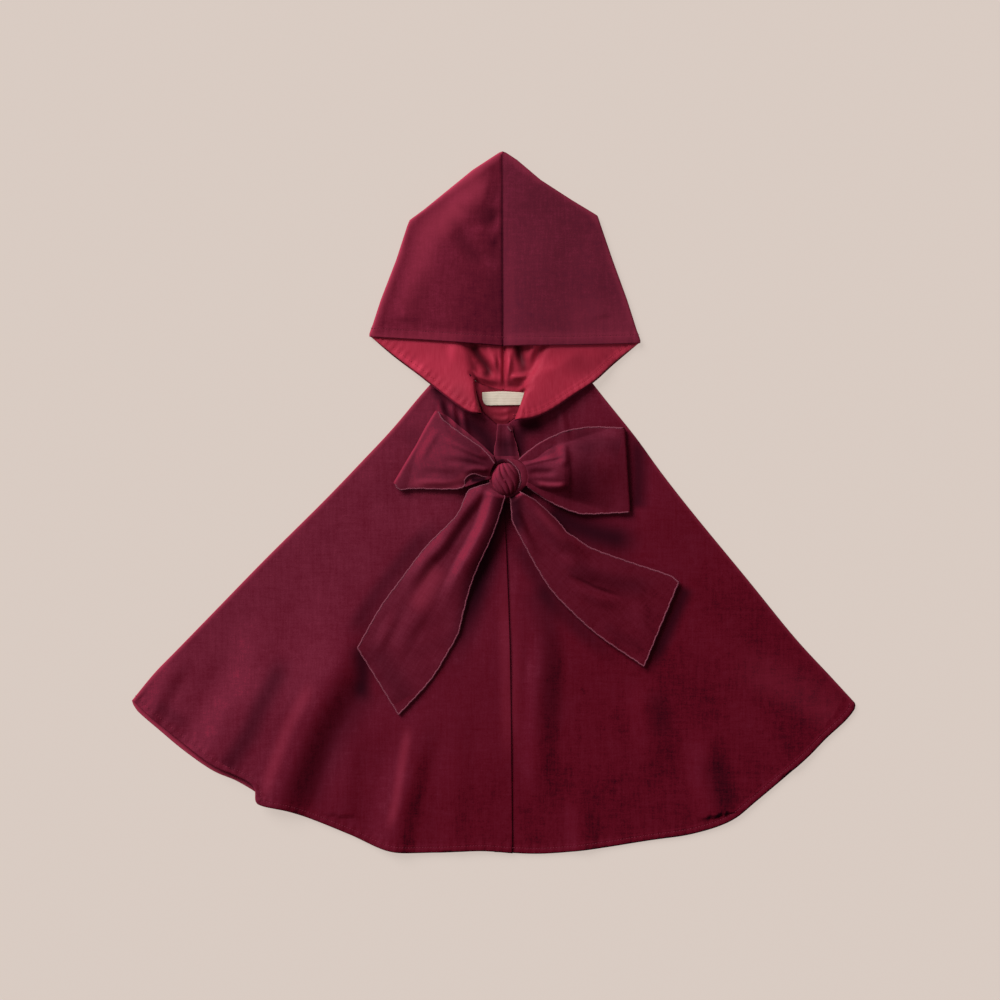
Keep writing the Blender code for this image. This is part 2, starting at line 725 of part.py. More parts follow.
def add_ribbon(name, outline, folds, cloth):
    """A single stretch of ribbon that lies on the fronts with soft folds in it."""
    add_sheet(name, outline, RIBBON_SPACING,
              lambda x, y: ribbon_height(x, y) + ridges(folds, x, y), VELVET, cloth)


def add_knot(cloth):
    """The gathered knot: a low dome with pleats that slant across it."""
    slant = math.radians(KNOT_PLEAT_SLANT)
    base = RIBBON_BASE + RIBBON_SLACK + LAP_RISE
    vertices = []
    for j in range(KNOT_RISE_STEPS):
        rise = 0.5 * math.pi * j / KNOT_RISE_STEPS
        spread = math.cos(rise) ** KNOT_SQUARENESS
        height = math.sin(rise)
        for i in range(KNOT_ROUND_STEPS):
            turn = 2 * math.pi * i / KNOT_ROUND_STEPS
            x = KNOT_HALF_WIDTH * spread * math.cos(turn)
            y = KNOT_HALF_LENGTH * spread * math.sin(turn)
            across = (x * math.cos(slant) + y * math.sin(slant)) / KNOT_HALF_WIDTH
            pleat = 0.5 - 0.5 * math.cos(KNOT_PLEATS * math.pi * across)
            z = base + KNOT_HEIGHT * height - KNOT_PLEAT_DEPTH * pleat * height
            vertices.append((KNOT_X + x, KNOT_Y + y, z))
    top = len(vertices)
    vertices.append((KNOT_X, KNOT_Y, base + KNOT_HEIGHT))
    faces = [tuple(range(KNOT_ROUND_STEPS))[::-1]]
    for j in range(KNOT_RISE_STEPS):
        for i in range(KNOT_ROUND_STEPS):
            a = j * KNOT_ROUND_STEPS + i
            b = j * KNOT_ROUND_STEPS + (i + 1) % KNOT_ROUND_STEPS
            if j == KNOT_RISE_STEPS - 1:
                faces.append((a, b, top))
            else:
                faces.append((a, b, b + KNOT_ROUND_STEPS, a + KNOT_ROUND_STEPS))
    add_object("bow_knot", vertices, faces, cloth)


def build_bow(ribbon):
    """The tied ribbon: strand from the neck, two loops, two tails and the knot over them."""
    def edge(points):
        return flowing(points, RIBBON_SPACING)

    add_loop("bow_loop_left", LOOP_LEFT_FOLD,
             joined(edge(LOOP_LEFT_SOLE), knot_arc(*LOOP_LEFT_SOLE_ARC), edge(LOOP_LEFT_BACK)[::-1]),
             joined(edge(LOOP_LEFT_FOOT), knot_arc(*LOOP_LEFT_FOOT_ARC), edge(LOOP_LEFT_TOP)[::-1]),
             LOOP_LEFT_FOLDS, ribbon)
    right = joined(edge(LOOP_RIGHT_TOP), knot_arc(*LOOP_RIGHT_ARC), edge(LOOP_RIGHT_FOOT)[::-1])
    add_loop("bow_loop_right", LOOP_RIGHT_FOLD[::-1], right, right, LOOP_RIGHT_FOLDS, ribbon)
    add_ribbon("bow_tail_left",
               joined(edge(TAIL_LEFT_OUTER), edge([TAIL_LEFT_OUTER[-1], TAIL_LEFT_INNER[0]]),
                      edge(TAIL_LEFT_INNER), knot_arc(*TAIL_LEFT_ARC)),
               TAIL_LEFT_FOLDS, ribbon)
    add_ribbon("bow_tail_right",
               joined(edge(TAIL_RIGHT_OUTER), knot_arc(*TAIL_RIGHT_ARC), edge(TAIL_RIGHT_INNER),
                      edge([TAIL_RIGHT_INNER[-1], TAIL_RIGHT_OUTER[0]])),
               TAIL_RIGHT_FOLDS, ribbon)
    add_ribbon("tie_strand",
               joined(edge(STRAND_LEFT), edge(STRAND_RIGHT), knot_arc(*STRAND_ARC)),
               STRAND_FOLDS, ribbon)
    add_knot(ribbon)


def main():
    """Builds every piece of the cape."""
    for obj in list(bpy.data.objects):
        bpy.data.objects.remove(obj, do_unlink=True)
    velvet = material("velvet", VELVET_COLOUR, VELVET_ROUGHNESS)
    ribbon = material("velvet_ribbon", RIBBON_COLOUR, VELVET_ROUGHNESS)
    satin = material("satin", SATIN_COLOUR, SATIN_ROUGHNESS)
    tape = material("woven_tape", LABEL_COLOUR, TAPE_ROUGHNESS)
    build_cape(velvet)
    build_hood(velvet, satin)
    build_neck(satin, tape)
    build_bow(ribbon)


main()
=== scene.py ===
"""Looks of a child's hooded velvet cape, laid flat on its back with its ribbon bow tied.

X runs to the right, Y towards the tip of the hood and Z up from the surface that the
cape lies on. Left and right are as seen from above. Tables and sizes are in
millimetres, and make_piece turns each mesh to metres. Every cloth is a thin closed
shell: a plan outline filled with triangles, a height for its underside and a thickness.
"""

import logging
import math
from collections.abc import Callable, Sequence
from dataclasses import dataclass, field
from enum import Enum
from typing import NamedTuple

import bpy
import numpy as np
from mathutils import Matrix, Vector
from mathutils.geometry import delaunay_2d_cdt
from mathutils.kdtree import KDTree


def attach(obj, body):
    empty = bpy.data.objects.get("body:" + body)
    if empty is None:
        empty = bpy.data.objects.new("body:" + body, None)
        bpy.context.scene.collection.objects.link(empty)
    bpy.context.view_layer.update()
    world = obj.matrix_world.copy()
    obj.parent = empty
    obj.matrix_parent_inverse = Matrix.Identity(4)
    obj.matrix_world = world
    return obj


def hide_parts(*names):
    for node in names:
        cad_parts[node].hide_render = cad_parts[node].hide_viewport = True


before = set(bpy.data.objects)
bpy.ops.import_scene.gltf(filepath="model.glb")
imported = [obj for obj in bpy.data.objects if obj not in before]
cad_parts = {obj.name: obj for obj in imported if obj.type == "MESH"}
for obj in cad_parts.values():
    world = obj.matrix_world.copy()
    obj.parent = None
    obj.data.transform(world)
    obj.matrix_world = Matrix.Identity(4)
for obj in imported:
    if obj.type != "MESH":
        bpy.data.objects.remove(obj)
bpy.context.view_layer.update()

LOG = logging.getLogger("cape")
BODY = "root"
PAINTED_SHADING = "pile_and_painted_shading"
MM = 0.001
RIPPLE_WAVES = 7
FOLD_STRIPS = 9
TUBE_SIDES = 7
LINE_STEP = 6.0

Array = np.ndarray
Material = bpy.types.Material
Point = tuple[float, float]
Line = Sequence[Point]
Heights = Callable[[Array], Array]


# Lines, tables and soft folds

def smooth(low: float, high: float, value: Array) -> Array:
    """Soft step: 0 where the value is low or less, 1 where it is high or more."""
    share = np.clip((value - low) / (high - low), 0.0, 1.0)
    return share * share * (3.0 - 2.0 * share)


def flowing(points: Line, spacing: float) -> Array:
    """Smooth curve through points.

    Args:
        points: The points that the curve passes through.
        spacing: Distance between its points in mm, about.

    Returns:
        One row of x and y for each point of the curve.
    """
    knots = np.array(points, float)
    knots = np.vstack([2 * knots[0] - knots[1], knots, 2 * knots[-1] - knots[-2]])
    stretches = []
    for a, b, c, d in zip(knots, knots[1:], knots[2:], knots[3:]):
        steps = max(1, round(float(np.linalg.norm(c - b)) / spacing))
        t = (np.arange(steps) / steps)[:, None]
        bend = (2 * a - 5 * b + 4 * c - d) * t**2 + (3 * b - a - 3 * c + d) * t**3
        stretches.append((2 * b + (c - a) * t + bend) / 2)
    return np.vstack([*stretches, knots[-2:-1]])


def straight(start: Point, finish: Point, spacing: float) -> Array:
    """Points from start to finish, about a spacing apart."""
    steps = max(1, round(math.dist(start, finish) / spacing))
    return np.linspace(start, finish, steps + 1)


def joined(*lines: Array, meeting: float = 0.2) -> Array:
    """Closed outline from lines that follow each other, without points that meet within some mm."""
    outline = np.vstack(lines)
    return outline[np.linalg.norm(outline - np.roll(outline, -1, axis=0), axis=1) > meeting]


def side_directions(line: Array) -> Array:
    """Unit directions to the left of an open line at each of its points."""
    along = np.gradient(line, axis=0)
    along /= np.linalg.norm(along, axis=1)[:, None]
    return np.stack([-along[:, 1], along[:, 0]], axis=1)


def resampled(path: Array, spacing: float) -> Array:
    """Points of a path in two or three dimensions, set evenly about a spacing apart."""
    lengths = np.concatenate([[0.0], np.cumsum(np.linalg.norm(np.diff(path, axis=0), axis=1))])
    places = np.linspace(0.0, lengths[-1], max(2, round(lengths[-1] / spacing) + 1))
    return np.stack([np.interp(places, lengths, axis) for axis in path.T], axis=1)


def nearest(line: Array, points: Array) -> tuple[Array, Array, Array]:
    """Where points lie about a line.

    Args:
        line: The line's points.
        points: Plan points.

    Returns:
        The distance of each point, its side (1 left, -1 right) and the share of the
        line's steps, from 0 to 1, at the nearest place on it.
    """
    best = np.full(len(points), np.inf)
    side = np.ones(len(points))
    along = np.zeros(len(points))
    for i, (start, finish) in enumerate(zip(line, line[1:])):
        step = finish - start
        offset = points - start
        share = np.clip(offset @ step / (step @ step), 0.0, 1.0)
        away = np.linalg.norm(offset - share[:, None] * step, axis=1)
        closer = away < best
        best[closer] = away[closer]
        turn = step[0] * offset[:, 1] - step[1] * offset[:, 0]
        side[closer] = np.where(turn[closer] > 0, 1.0, -1.0)
        along[closer] = (i + share[closer]) / (len(line) - 1)
    return best, side, along


def close_to(line: Array, points: Array, reach: float) -> Array:
    """Whether each point is within a reach in mm of the box round a line."""
    return ((points > line.min(axis=0) - reach) & (points < line.max(axis=0) + reach)).all(axis=1)


def edge_distances(line: Array, points: Array) -> Array:
    """Distance of each point from a line whose own points are set closely."""
    tree = KDTree(len(line))
    for i, (x, y) in enumerate(line):
        tree.insert((x, y, 0.0), i)
    tree.balance()
    index = np.array([tree.find((x, y, 0.0))[1] for x, y in points], int)
    best = np.full(len(points), np.inf)
    for shift in (-1, 0):
        first = np.clip(index + shift, 0, len(line) - 2)
        step = line[first + 1] - line[first]
        offset = points - line[first]
        share = np.clip((offset * step).sum(axis=1) / (step * step).sum(axis=1), 0.0, 1.0)
        best = np.minimum(best, np.linalg.norm(offset - share[:, None] * step, axis=1))
    return best


def signed_area(outline: Array) -> float:
    """Area inside a closed outline, below 0 where it runs clockwise."""
    x, y = outline.T
    return (x @ np.roll(y, -1) - y @ np.roll(x, -1)) / 2


def inside(outline: Array, points: Array) -> Array:
    """Whether each point is inside a closed outline."""
    crossed = np.zeros(len(points), bool)
    x, y = points.T
    for (ax, ay), (bx, by) in zip(outline, np.roll(outline, -1, axis=0)):
        if ay != by:
            crossed ^= ((ay > y) != (by > y)) & (x < ax + (y - ay) * (bx - ax) / (by - ay))
    return crossed


def ripple(points: Array, length: float, seed: int) -> Array:
    """Uneven gentle waves of handled cloth.

    Args:
        points: Plan points in mm.
        length: Usual length of a wave in mm.
        seed: Which of the patterns of waves it is.

    Returns:
        A number for each point, mostly between -1 and 1.
    """
    draw = np.random.default_rng(seed)
    total = np.zeros(len(points))
    for _ in range(RIPPLE_WAVES):
        turn = draw.uniform(0.0, math.pi)
        reach = points @ np.array([math.cos(turn), math.sin(turn)])
        size = length * draw.uniform(0.7, 1.7)
        total += np.sin(2 * math.pi * reach / size + draw.uniform(0.0, 2 * math.pi))
    return total / math.sqrt(RIPPLE_WAVES)


@dataclass(frozen=True)
class Fold:
    """A soft ridge in a cloth, or a trough where its height is negative.

    The tables of folds give these in order. As a stroke of painted shading, a fold's height is
    how much painted shade it adds, and one below 0 adds painted light.

    Attributes:
        line: The fold's line.
        height: Height at its strongest in mm.
        left: Half width to the left of the line, looking along it, in mm.
        right: Half width to the right in mm.
        rise: Share of the line over which the fold comes up from its start.
        fall: Share of the line over which it dies away at its end.
        narrow: Width at the line's start, as a share of the width at its end.
        sharp: Above 1 for a pinched crest, below 1 for a broad one.
    """

    line: Line
    height: float
    left: float
    right: float
    rise: float = 0.4
    fall: float = 0.0
    narrow: float = 1.0
    sharp: float = 1.0

    def lift(self, points: Array) -> Array:
        """Height that the fold adds at each point, in mm."""
        line = flowing(self.line, LINE_STEP)
        near = close_to(line, points, max(self.left, self.right))
        added = np.zeros(len(points))
        away, side, along = nearest(line, points[near])
        width = np.where(side > 0, self.left, self.right) * (self.narrow + (1 - self.narrow) * along)
        across = 0.5 + 0.5 * np.cos(math.pi * np.minimum(away / width, 1.0))
        strength = smooth(0.0, max(self.rise, 1e-6), along) * (1 - smooth(1 - max(self.fall, 1e-6), 1.0, along))
        added[near] = self.height * across**self.sharp * strength
        return added


Folds = tuple[Fold, ...]


def folds_lift(folds: Sequence[Fold], points: Array) -> Array:
    """Height that several folds add together at each point, in mm."""
    return sum((fold.lift(points) for fold in folds), np.zeros(len(points)))


class Station(NamedTuple):
    """Height at a share of the way along a piece."""

    share: float
    height: float


def profile(stations: Sequence[Station], share: Array) -> Array:
    """Height at shares of the way along a piece, on a smooth curve through stations."""
    curve = flowing([(100.0 * s.share, s.height) for s in stations], 3.0)
    return np.interp(100.0 * share, curve[:, 0], curve[:, 1])


# Meshes

@dataclass
class MeshData:
    """Vertices in mm, one row each, and triangles as rows of three vertex numbers."""

    vertices: Array
    faces: Array

    @staticmethod
    def merged(parts: Sequence["MeshData"]) -> "MeshData":
        """One mesh from several that stay apart."""
        starts = np.cumsum([0] + [len(part.vertices) for part in parts])
        faces = [part.faces + start for part, start in zip(parts, starts)]
        return MeshData(np.vstack([part.vertices for part in parts]), np.vstack(faces))


def quads(rows: Array) -> Array:
    """Triangles of a grid of vertex numbers, two for each cell."""
    a, b, c, d = rows[:-1, :-1], rows[:-1, 1:], rows[1:, 1:], rows[1:, :-1]
    return np.stack([np.stack([a, b, c], -1), np.stack([a, c, d], -1)], -2).reshape(-1, 3)


def grid_of(count: int, sides: int) -> Array:
    """Vertex numbers of rings that follow each other, each ring's first number again at its end."""
    index = np.arange(count * sides).reshape(count, sides)
    return np.hstack([index, index[:, :1]])


def make_piece(
    name: str, data: MeshData, finish: Material, slot: str = "", node: str = "", pile_and_painted_shading: Heights | None = None
) -> bpy.types.Object:
    """Smooth shaded piece from mesh data in mm, tied to the frame and reported.

    Args:
        name: Name of the piece.
        data: Its mesh.
        finish: Its material.
        slot: Any name; when one is given, the piece is tied to the frame. The floor has none.
        node: CAD node that it stands for, if any.
        pile_and_painted_shading: Painted shade (above 0) and painted light (below 0) at plan points.

    Returns:
        The new object.
    """
    mesh = bpy.data.meshes.new(name)
    mesh.vertices.add(len(data.vertices))
    mesh.vertices.foreach_set("co", (data.vertices * MM).astype(np.float32).ravel())
    mesh.loops.add(data.faces.size)
    mesh.loops.foreach_set("vertex_index", data.faces.astype(np.int32).ravel())
    mesh.polygons.add(len(data.faces))
    mesh.polygons.foreach_set("loop_start", np.arange(0, data.faces.size, 3, dtype=np.int32))
    mesh.update(calc_edges=True)
    mesh.validate()
    mesh.shade_smooth()
    mesh.materials.append(finish)
    # Amounts of painted shade (above 0) and painted light (below 0), one for each vertex, for the material to mix in.
    if pile_and_painted_shading is not None:
        painted_shade = mesh.attributes.new(PAINTED_SHADING, "FLOAT", "POINT")
        painted_shade.data.foreach_set("value", pile_and_painted_shading(data.vertices[:, :2]).astype(np.float32))
    piece = bpy.data.objects.new(name, mesh)
    bpy.context.collection.objects.link(piece)
    if slot:
        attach(piece, BODY)
    if node:
        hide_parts(node)
    LOG.info("%s: %d triangles", name, len(mesh.polygons))
    return piece


class Edge(Enum):
    """How far in the rows of points beside a cloth's edge lie, in mm."""

    PLAIN = (0.12, 0.36, 0.7)
    HEMMED = (0.12, 0.36, 0.7, 1.8, 3.4, 5.2, 6.1, 7.0, 8.2, 10.0)
    HOODED = (0.12, 0.36, 0.7, 1.2, 2.2, 4.6, 7.0, 8.9, 9.8, 10.7, 12.0)
    FLAPPED = (0.12, 0.36, 0.7, 1.8, 3.4, 4.9, 5.8, 6.7, 8.0, 10.0)


class PlanMesh:
    """Triangles that fill a cloth's plan outline, with rows of points that follow its edge.

    Attributes:
        points: Plan points in mm, those of the outline first.
        triangles: Rows of three point numbers, anticlockwise from above.
        around: How many of the points are on the outline.
        folded: How many of those, from the first, are on the fold.
        edge: The cloth's edge as an open line, without the fold.
        from_edge: Distance of each point from that edge in mm.
        row_room: How far a row's point has to be from the edge, as a share of the row's distance,
            so that rows don't cross in a corner.
        lattice_room: How far an inner point has to be from the outline, in spacings.
        row_gap: Distance from the last row to the first inner points, in spacings.
    """

    row_room: float = 0.93
    lattice_room: float = 0.55
    row_gap: float = 0.45

    def __init__(self, outline: Array, spacing: float, edge: Edge, folded: int = 0) -> None:
        """Fills an outline.

        Args:
            outline: Plan points in mm, the fold's points first. The cloth is to the left of a fold.
            spacing: Distance between the inner points in mm.
            edge: What its edge is like, which sets the rows of points that follow it.
            folded: How many of the outline's points are on the fold, where the cloth goes on.
        """
        rows = edge.value
        if signed_area(outline) < 0 and not folded:
            outline = outline[::-1]
        self.around = len(outline)
        self.folded = folded
        self.edge = np.vstack([outline[max(folded - 1, 0):], outline[:1]])
        line = self.edge if folded else np.vstack([outline[-1:], self.edge])
        closed = np.vstack([outline[-1:], outline, outline[:1]])

        near = []
        inward = side_directions(line)
        for distance in rows:
            row = line + inward * distance
            near.append(row[edge_distances(line, row) > self.row_room * distance])
        near_points = np.vstack(near)
        near_points = near_points[inside(outline, near_points)]
        near_points = near_points[edge_distances(closed, near_points) > 0.9 * rows[0]]

        low, high = outline.min(axis=0), outline.max(axis=0)
        step = spacing * math.sqrt(3) / 2
        j, i = np.mgrid[0:int((high[1] - low[1]) / step) + 1, 0:int((high[0] - low[0]) / spacing) + 1]
        lattice = np.stack([low[0] + (i + 0.25 + 0.5 * (j % 2)) * spacing, low[1] + (j + 0.5) * step], -1)
        lattice = lattice.reshape(-1, 2)
        lattice = lattice[inside(outline, lattice)]
        lattice = lattice[edge_distances(closed, lattice) > self.lattice_room * spacing]
        lattice = lattice[edge_distances(line, lattice) > rows[-1] + self.row_gap * spacing]

        points = np.vstack([outline, near_points, lattice])
        edges = [(k, (k + 1) % self.around) for k in range(self.around)]
        _, _, faces, origins, _, _ = delaunay_2d_cdt([Vector(p) for p in points], edges, [], 1, 1e-5)
        index = np.array([origin[0] for origin in origins])
        triangles = index[np.array(faces)]
        a, b, c = (points[triangles[:, k]] for k in range(3))
        turned = np.cross(b - a, c - a) < 0
        triangles[turned] = triangles[turned][:, ::-1]
        self.points = points
        self.triangles = triangles
        self.from_edge = edge_distances(line, points)

    @property
    def area(self) -> float:
        """Area inside the outline in square metres."""
        return abs(signed_area(self.points[:self.around])) * MM * MM

    @property
    def size(self) -> Point:
        """Width and length of the outline in metres."""
        outline = self.points[:self.around]
        width, length = (outline.max(axis=0) - outline.min(axis=0)) * MM
        return float(width), float(length)

    def faces_of_cloth(
        self, under: Heights, thickness: float, relief: Heights | None, first: int
    ) -> tuple[Array, Array]:
        """Both faces of the cloth and the walls of its open edge.

        Args:
            under: Height of the underside.
            thickness: Thickness of the cloth in mm.
            relief: Height added to the upper side only, or None.
            first: Number of the first vertex.

        Returns:
            Vertices, those of the underside first, and triangles. The edge is rounded over
            nearly half of the thickness, from above and from below.
        """
        radius = thickness / 2
        edge_share = np.clip(1 - self.from_edge / radius, 0.0, 1.0)
        rounding = 0.9 * radius * (1 - np.sqrt(1 - edge_share**2))
        bottom = under(self.points)
        top = bottom + thickness - rounding
        if relief is not None:
            top = top + relief(self.points) * (1 - edge_share)
        low = np.column_stack([self.points, bottom + rounding])
        high = np.column_stack([self.points, top])
        count = len(self.points)
        ring = np.arange(max(self.folded - 1, 0), self.around + 1) % self.around
        walls = quads(np.stack([ring, ring + count]) + first)
        faces = np.vstack([self.triangles[:, ::-1] + first, self.triangles + first + count, walls])
        return np.vstack([low, high]), faces


def sheet(plan: PlanMesh, under: Heights, thickness: float, relief: Heights | None = None) -> MeshData:
    """A single cloth as a closed shell."""
    return MeshData(*plan.faces_of_cloth(under, thickness, relief, 0))


def folded_sheet(
    lower: PlanMesh,
    upper: PlanMesh,
    lower_under: Heights,
    upper_under: Heights,
    thickness: float,
    reliefs: tuple[Heights | None, Heights | None] = (None, None),
    end_out: dict[int, Point] | None = None,
) -> MeshData:
    """A cloth folded over on itself, as a closed shell.

    Args:
        lower: Plan of the lower layer, whose outline starts with the fold.
        upper: Plan of the upper layer, whose outline starts with the same points.
        lower_under: Height of the lower layer's underside.
        upper_under: Height of the upper layer's underside.
        thickness: Thickness of the cloth in mm.
        reliefs: Height added to the upper side of the lower and of the upper layer.
        end_out: Directions out of the fold at some of its points.

    Returns:
        The mesh, with half-round strips that join the two layers at the fold.
    """
    low_vertices, low_faces = lower.faces_of_cloth(lower_under, thickness, reliefs[0], 0)
    first = len(low_vertices)
    high_vertices, high_faces = upper.faces_of_cloth(upper_under, thickness, reliefs[1], first)
    vertices = [low_vertices, high_vertices]
    faces = [low_faces, high_faces]
    both = np.vstack(vertices)
    count = lower.folded
    fold = np.arange(count)
    out = -side_directions(both[fold, :2])
    for i, direction in (end_out or {}).items():
        out[i] = np.array(direction) / math.hypot(*direction)
    strips = []
    made = len(both)
    pairs = ((fold, fold + first + len(upper.points)), (fold + len(lower.points), fold + first))
    for start, finish in pairs:
        bottom, top = both[start, 2], both[finish, 2]
        rows = [start]
        for step in range(1, FOLD_STRIPS):
            turn = math.pi * step / FOLD_STRIPS
            reach = (top - bottom) / 2 * math.sin(turn)
            height = (bottom + top) / 2 - (top - bottom) / 2 * math.cos(turn)
            vertices.append(np.column_stack([both[start, :2] + out * reach[:, None], height]))
            rows.append(made + fold)
            made += count
        rows.append(finish)
        strips.append(np.stack(rows))
    outer, inner = strips
    faces += [quads(outer), quads(inner)[:, ::-1]]
    faces.append(quads(np.stack([inner[:, 0], outer[:, 0]])))
    faces.append(quads(np.stack([outer[:, -1], inner[:, -1]])))
    return MeshData(np.vstack(vertices), np.vstack(faces))


def tube(path: Array, radii: Array) -> MeshData:
    """Round closed tube.

    Args:
        path: Points of its middle line in mm, in three dimensions.
        radii: Radius at each point in mm.

    Returns:
        The tube's mesh, closed at both ends.
    """
    sides = TUBE_SIDES
    along = np.gradient(path, axis=0)
    along /= np.linalg.norm(along, axis=1)[:, None]
    across = np.empty_like(path)
    last = np.cross(along[0], (0.0, 0.0, 1.0))
    for i, direction in enumerate(along):
        last = last - direction * (last @ direction)
        last /= np.linalg.norm(last)
        across[i] = last
    upward = np.cross(across, along)
    turn = 2 * math.pi * np.arange(sides) / sides
    rim = across[:, None] * np.cos(turn)[:, None] + upward[:, None] * np.sin(turn)[:, None]
    ring = path[:, None] + rim * radii[:, None, None]
    count = len(path)
    rows = grid_of(count, sides)
    caps = []
    for row, centre, step in ((rows[0, :-1], count * sides, 1), (rows[-1, :-1], count * sides + 1, -1)):
        pair = np.stack([row, np.roll(row, -1)], axis=1)[:, ::step]
        caps.append(np.column_stack([np.full(sides, centre), pair]))
    vertices = np.vstack([ring.reshape(-1, 3), path[:1], path[-1:]])
    return MeshData(vertices, np.vstack([quads(rows)[:, ::-1], *caps]))


# Materials

def linear(colour: str) -> tuple[float, float, float, float]:
    """Linear colour of an sRGB hex value such as #8a2030."""
    shares = [int(colour[i:i + 2], 16) / 255 for i in (1, 3, 5)]
    red, green, blue = (s / 12.92 if s <= 0.04045 else ((s + 0.055) / 1.055) ** 2.4 for s in shares)
    return red, green, blue, 1.0


def new_finish(name: str, **settings: object) -> tuple[Material, bpy.types.ShaderNode]:
    """A material with one Principled shader.

    Args:
        name: Name of the material.
        settings: Values of the shader's sockets, with _ for each space in a socket's name.

    Returns:
        The material and its shader.
    """
    finish = bpy.data.materials.new(name)
    finish.use_nodes = True
    shader = finish.node_tree.nodes["Principled BSDF"]
    for socket, value in settings.items():
        shader.inputs[socket.replace("_", " ")].default_value = value
    return finish, shader


def add_node(
    tree: bpy.types.NodeTree,
    kind: str,
    settings: dict[str | int, object],
    links: dict[str | int, bpy.types.NodeSocket] | None = None,
    feeds: dict[str, bpy.types.NodeSocket] | None = None,
) -> bpy.types.Node:
    """Adds a node.

    Args:
        tree: Node tree of the material.
        kind: Node type, without the words ShaderNode in front.
        settings: Values by name: a name in small letters is the node's own property,
            and any other name or number is a socket.
        links: Sockets that feed the node's inputs, by the input's name or number.
        feeds: Sockets that the node's outputs feed, by the output's name.

    Returns:
        The new node.
    """
    made = tree.nodes.new("ShaderNode" + kind)
    for name, value in settings.items():
        if isinstance(name, str) and name.islower():
            setattr(made, name, value)
        else:
            made.inputs[name].default_value = value
    for name, source in (links or {}).items():
        tree.links.new(source, made.inputs[name])
    for name, goal in (feeds or {}).items():
        tree.links.new(made.outputs[name], goal)
    return made


def set_ramp(ramp: bpy.types.Node, stops: Sequence[tuple[float, str]]) -> None:
    """Gives a colour ramp its stops, each a place from 0 to 1 and an sRGB hex value."""
    elements = ramp.color_ramp.elements
    while len(elements) < len(stops):
        elements.new(0.5)
    for element, (place_on_ramp, colour) in zip(elements, stops):
        element.position = place_on_ramp
        element.color = linear(colour)


def add_painted_shading(
    tree: bpy.types.NodeTree, colour: bpy.types.NodeSocket, painted_shade: str, raised_and_painted_light: str, goal: bpy.types.NodeSocket
) -> None:
    """Mixes painted shade and painted light into a cloth's colour, by the amounts that make_piece wrote to its mesh.

    Args:
        tree: The material's node tree.
        colour: The cloth's own colour.
        painted_shade: Colour of painted shade, reached where the amount is 1.
        raised_and_painted_light: Colour of painted light, reached where the amount is -1.
        goal: Where the colour goes.
    """
    # Strokes of painted shade and painted light over the cloth's own colour.
    strokes = add_node(tree, "Attribute", {"attribute_name": PAINTED_SHADING})
    for share, stroke in ((1.0, painted_shade), (-1.0, raised_and_painted_light)):
        amount = add_node(tree, "Math", {"operation": "MULTIPLY", "use_clamp": True, 1: share},
                          {0: strokes.outputs["Fac"]})
        mixed = add_node(tree, "Mix", {"data_type": "RGBA", 7: linear(stroke)}, {0: amount.outputs[0], 6: colour})
        colour = mixed.outputs[2]
    tree.links.new(colour, goal)


